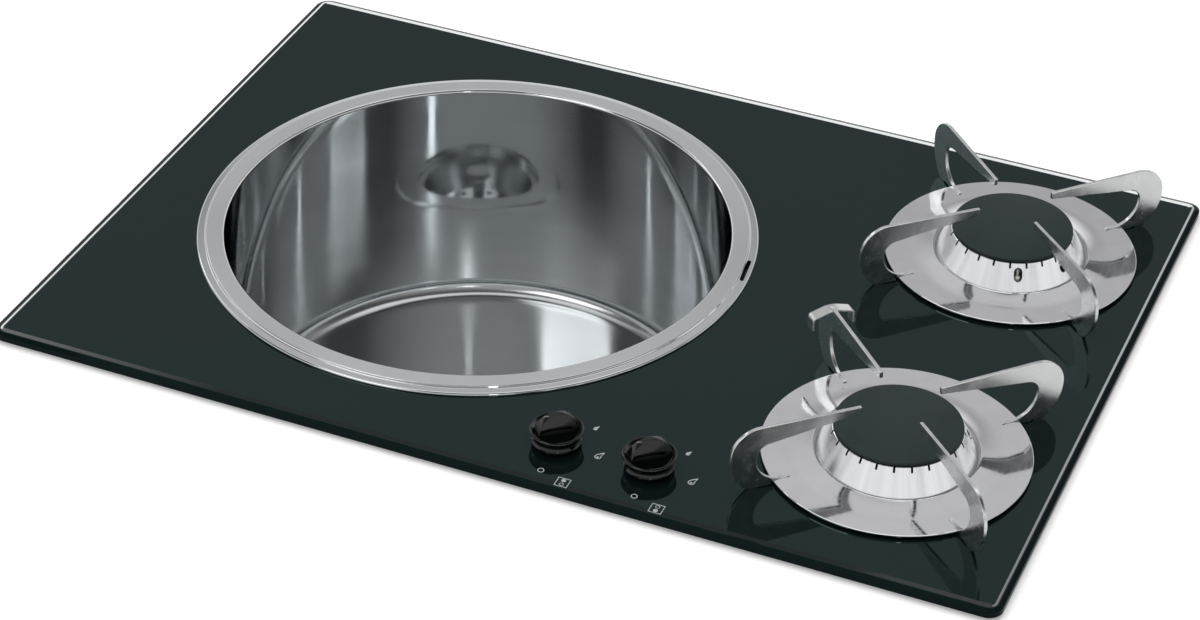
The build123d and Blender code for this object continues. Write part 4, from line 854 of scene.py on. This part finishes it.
def makeSigns(side):
    centre = knobCentre[side]
    shift = sign["dotShift"] * (-1 if side == "front" else 1)
    x, y = sign["square"]
    off, size, large, dot = (sign[key] for key in ("offRadius", "squareSize", "largeSize", "dotRadius"))
    core = (sign["large"][0], sign["large"][1] - sign["coreDrop"])
    parts = [
        printed([circle(off), circle(off - sign["offStroke"])], centre, sign["off"]),
        printed([square(size), square(size - 2 * sign["squareStroke"])], centre, (x, y)),
        printed([circle(dot)], centre, (x, y + shift)),
        printed([circle(dot), circle(dot - sign["dotStroke"])], centre, (x, y - shift)),
        printed([flame(sign["smallSize"])], centre, sign["small"]),
        printed([flame(large), flame(large - sign["flameStroke"])], centre, sign["large"]),
        printed([circle(sign["flameCore"])], centre, core),
    ]
    place(f"signs_{side}", joined(parts), "black_glass", "plate", material="print_white")


for side in sides:
    makeSigns(side)
print("signs made")

# Studio: pale worktop with a cut-out, bright sweep at the horizon, soft boxes above
worktop = {
    "length": 1900.0, "depth": 1800.0, "thickness": 30.0, "cutLength": 683.0, "cutDepth": 466.0,
    "colour": (0.92, 0.92, 0.92, 1), "rough": 0.8, "glow": 0.25,
}


def makeWorktop():
    length, cutLength = worktop["length"], worktop["cutLength"]
    outer = bar(-length / 2, length / 2, worktop["depth"])
    inner = bar(-cutLength / 2, cutLength / 2, worktop["cutDepth"])
    bm = sheet([outer, inner], Matrix.Identity(4), -worktop["thickness"], 0.0)
    mesh = bpy.data.meshes.new("worktop")
    bm.to_mesh(mesh)
    bm.free()
    slab = bpy.data.objects.new("worktop", mesh)
    bpy.context.scene.collection.objects.link(slab)
    material, tree, shader = newMaterial("worktop")
    shader.inputs["Base Color"].default_value = worktop["colour"]
    shader.inputs["Roughness"].default_value = worktop["rough"]
    shader.inputs["Emission Color"].default_value = (1, 1, 1, 1)
    rays = tree.nodes.new("ShaderNodeLightPath")
    glow = addRange(tree, rays.outputs["Is Camera Ray"], 0.0, worktop["glow"], 0.0, 1.0)
    tree.links.new(glow, shader.inputs["Emission Strength"])
    mesh.materials.append(material)


# levels of the light round the object, by direction: 1 is as bright as the white behind it
world = {
    "dark": 0.07, "back": 0.60, "backAzimuth": -15.0, "backSpread": 0.62,
    "fade": 0.66, "fadeLow": 0.50, "fadeHigh": 0.64,
    "side": 0.40, "sideAzimuth": 156.0, "sideLow": 0.30, "sideHigh": 0.75,
    "sweep": 0.95, "sweepLow": 0.36, "sweepHigh": 0.49, "ground": 0.40, "horizon": 0.12,
}


def makeWorld():
    studio = bpy.data.worlds.new("studio")
    bpy.context.scene.world = studio
    studio.use_nodes = True
    tree = studio.node_tree
    coords = tree.nodes.new("ShaderNodeTexCoord").outputs["Generated"]
    height = addSplit(tree, coords)[2]
    back, side = math.radians(world["backAzimuth"]), math.radians(world["sideAzimuth"])
    backWay = addVector(tree, "DOT_PRODUCT", coords, (math.sin(back), math.cos(back), 0.0), "Value")
    sideWay = addVector(tree, "DOT_PRODUCT", coords, (math.sin(side), math.cos(side), 0.0), "Value")
    turned = addRange(tree, backWay, world["dark"], world["back"], 0.0, world["backSpread"])
    risen = addRange(tree, height, world["fade"], 1.0, world["fadeLow"], world["fadeHigh"])
    glow = addRange(tree, sideWay, 0.0, world["side"], world["sideLow"], world["sideHigh"])
    belt = addMath(tree, "MAXIMUM", addMath(tree, "MULTIPLY", turned, risen), glow)
    low = addRange(tree, height, 1.0, 0.0, world["sweepLow"], world["sweepHigh"])
    background = tree.nodes["Background"]
    background.inputs["Color"].default_value = (1, 1, 1, 1)
    sweep = addRange(tree, height, world["ground"], world["sweep"], 0.0, world["horizon"])
    tree.links.new(addMix(tree, low, belt, sweep), background.inputs["Strength"])
    white = tree.nodes.new("ShaderNodeBackground")
    white.inputs["Color"].default_value = (1, 1, 1, 1)
    rays = tree.nodes.new("ShaderNodeLightPath")
    mix = tree.nodes.new("ShaderNodeMixShader")
    tree.links.new(rays.outputs["Is Camera Ray"], mix.inputs["Fac"])
    tree.links.new(background.outputs["Background"], mix.inputs[1])
    tree.links.new(white.outputs["Background"], mix.inputs[2])
    tree.links.new(mix.outputs["Shader"], tree.nodes["World Output"].inputs["Surface"])


# azimuth from the back edge towards the burners, elevation, distance, width, height, brightness
lamps = {
    "front": (207.0, 48.0, 2.7, 1.4, 1.1, 2.3),
    "leftStrip": (-68.0, 34.0, 2.6, 0.22, 1.2, 3.2),
    "rightStrip": (150.0, 31.0, 3.2, 0.16, 0.55, 3.6),
    "high": (-24.0, 80.0, 2.6, 2.8, 1.5, 0.95),
}
overhead = {"height": 2.2, "size": 2.0, "brightness": 1.8}


def makeLamp(name, spot, target, width, height, brightness):
    data = bpy.data.lights.new(name, "AREA")
    data.shape = "RECTANGLE"
    data.size = width
    data.size_y = height
    data.energy = brightness * math.pi * width * height
    lamp = bpy.data.objects.new(name, data)
    lamp.location = spot
    lamp.rotation_mode = "QUATERNION"
    lamp.rotation_quaternion = (Vector(target) - Vector(spot)).to_track_quat("-Z", "Y")
    lamp.visible_camera = False
    bpy.context.scene.collection.objects.link(lamp)
    return lamp


def makeLamps():
    target = Vector((bowlCentre.x, bowlCentre.y, 0))
    for name, (azimuth, elevation, distance, width, height, brightness) in lamps.items():
        a, e = math.radians(azimuth), math.radians(elevation)
        way = Vector((math.sin(a) * math.cos(e), math.cos(a) * math.cos(e), math.sin(e)))
        makeLamp(name, target + way * distance, target, width, height, brightness)
    size = overhead["size"]
    spot = (0, 0, overhead["height"])
    top = makeLamp("overhead", spot, (0, 0, 0), size, size, overhead["brightness"])
    top.visible_glossy = False


view = {
    "spot": (0.69513, -1.73372, 1.30003), "azimuth": 22.1875, "elevation": 35.4669, "roll": 1.31,
    "lens": 96.966, "sensor": 36.0,
}


def makeCamera():
    azimuth, elevation, roll = (math.radians(view[key]) for key in ("azimuth", "elevation", "roll"))
    data = bpy.data.cameras.new("camera")
    data.sensor_width = view["sensor"]
    data.lens = view["lens"]
    camera = bpy.data.objects.new("camera", data)
    forward = Vector((
        -math.sin(azimuth) * math.cos(elevation),
        math.cos(azimuth) * math.cos(elevation),
        -math.sin(elevation),
    ))
    camera.location = view["spot"]
    camera.rotation_mode = "QUATERNION"
    camera.rotation_quaternion = forward.to_track_quat("-Z", "Y") @ Quaternion((0, 0, 1), roll)
    bpy.context.scene.collection.objects.link(camera)
    bpy.context.scene.camera = camera


makeWorktop()
makeWorld()
makeLamps()
makeCamera()
bpy.context.scene.view_settings.view_transform = "Standard"
print("studio made")
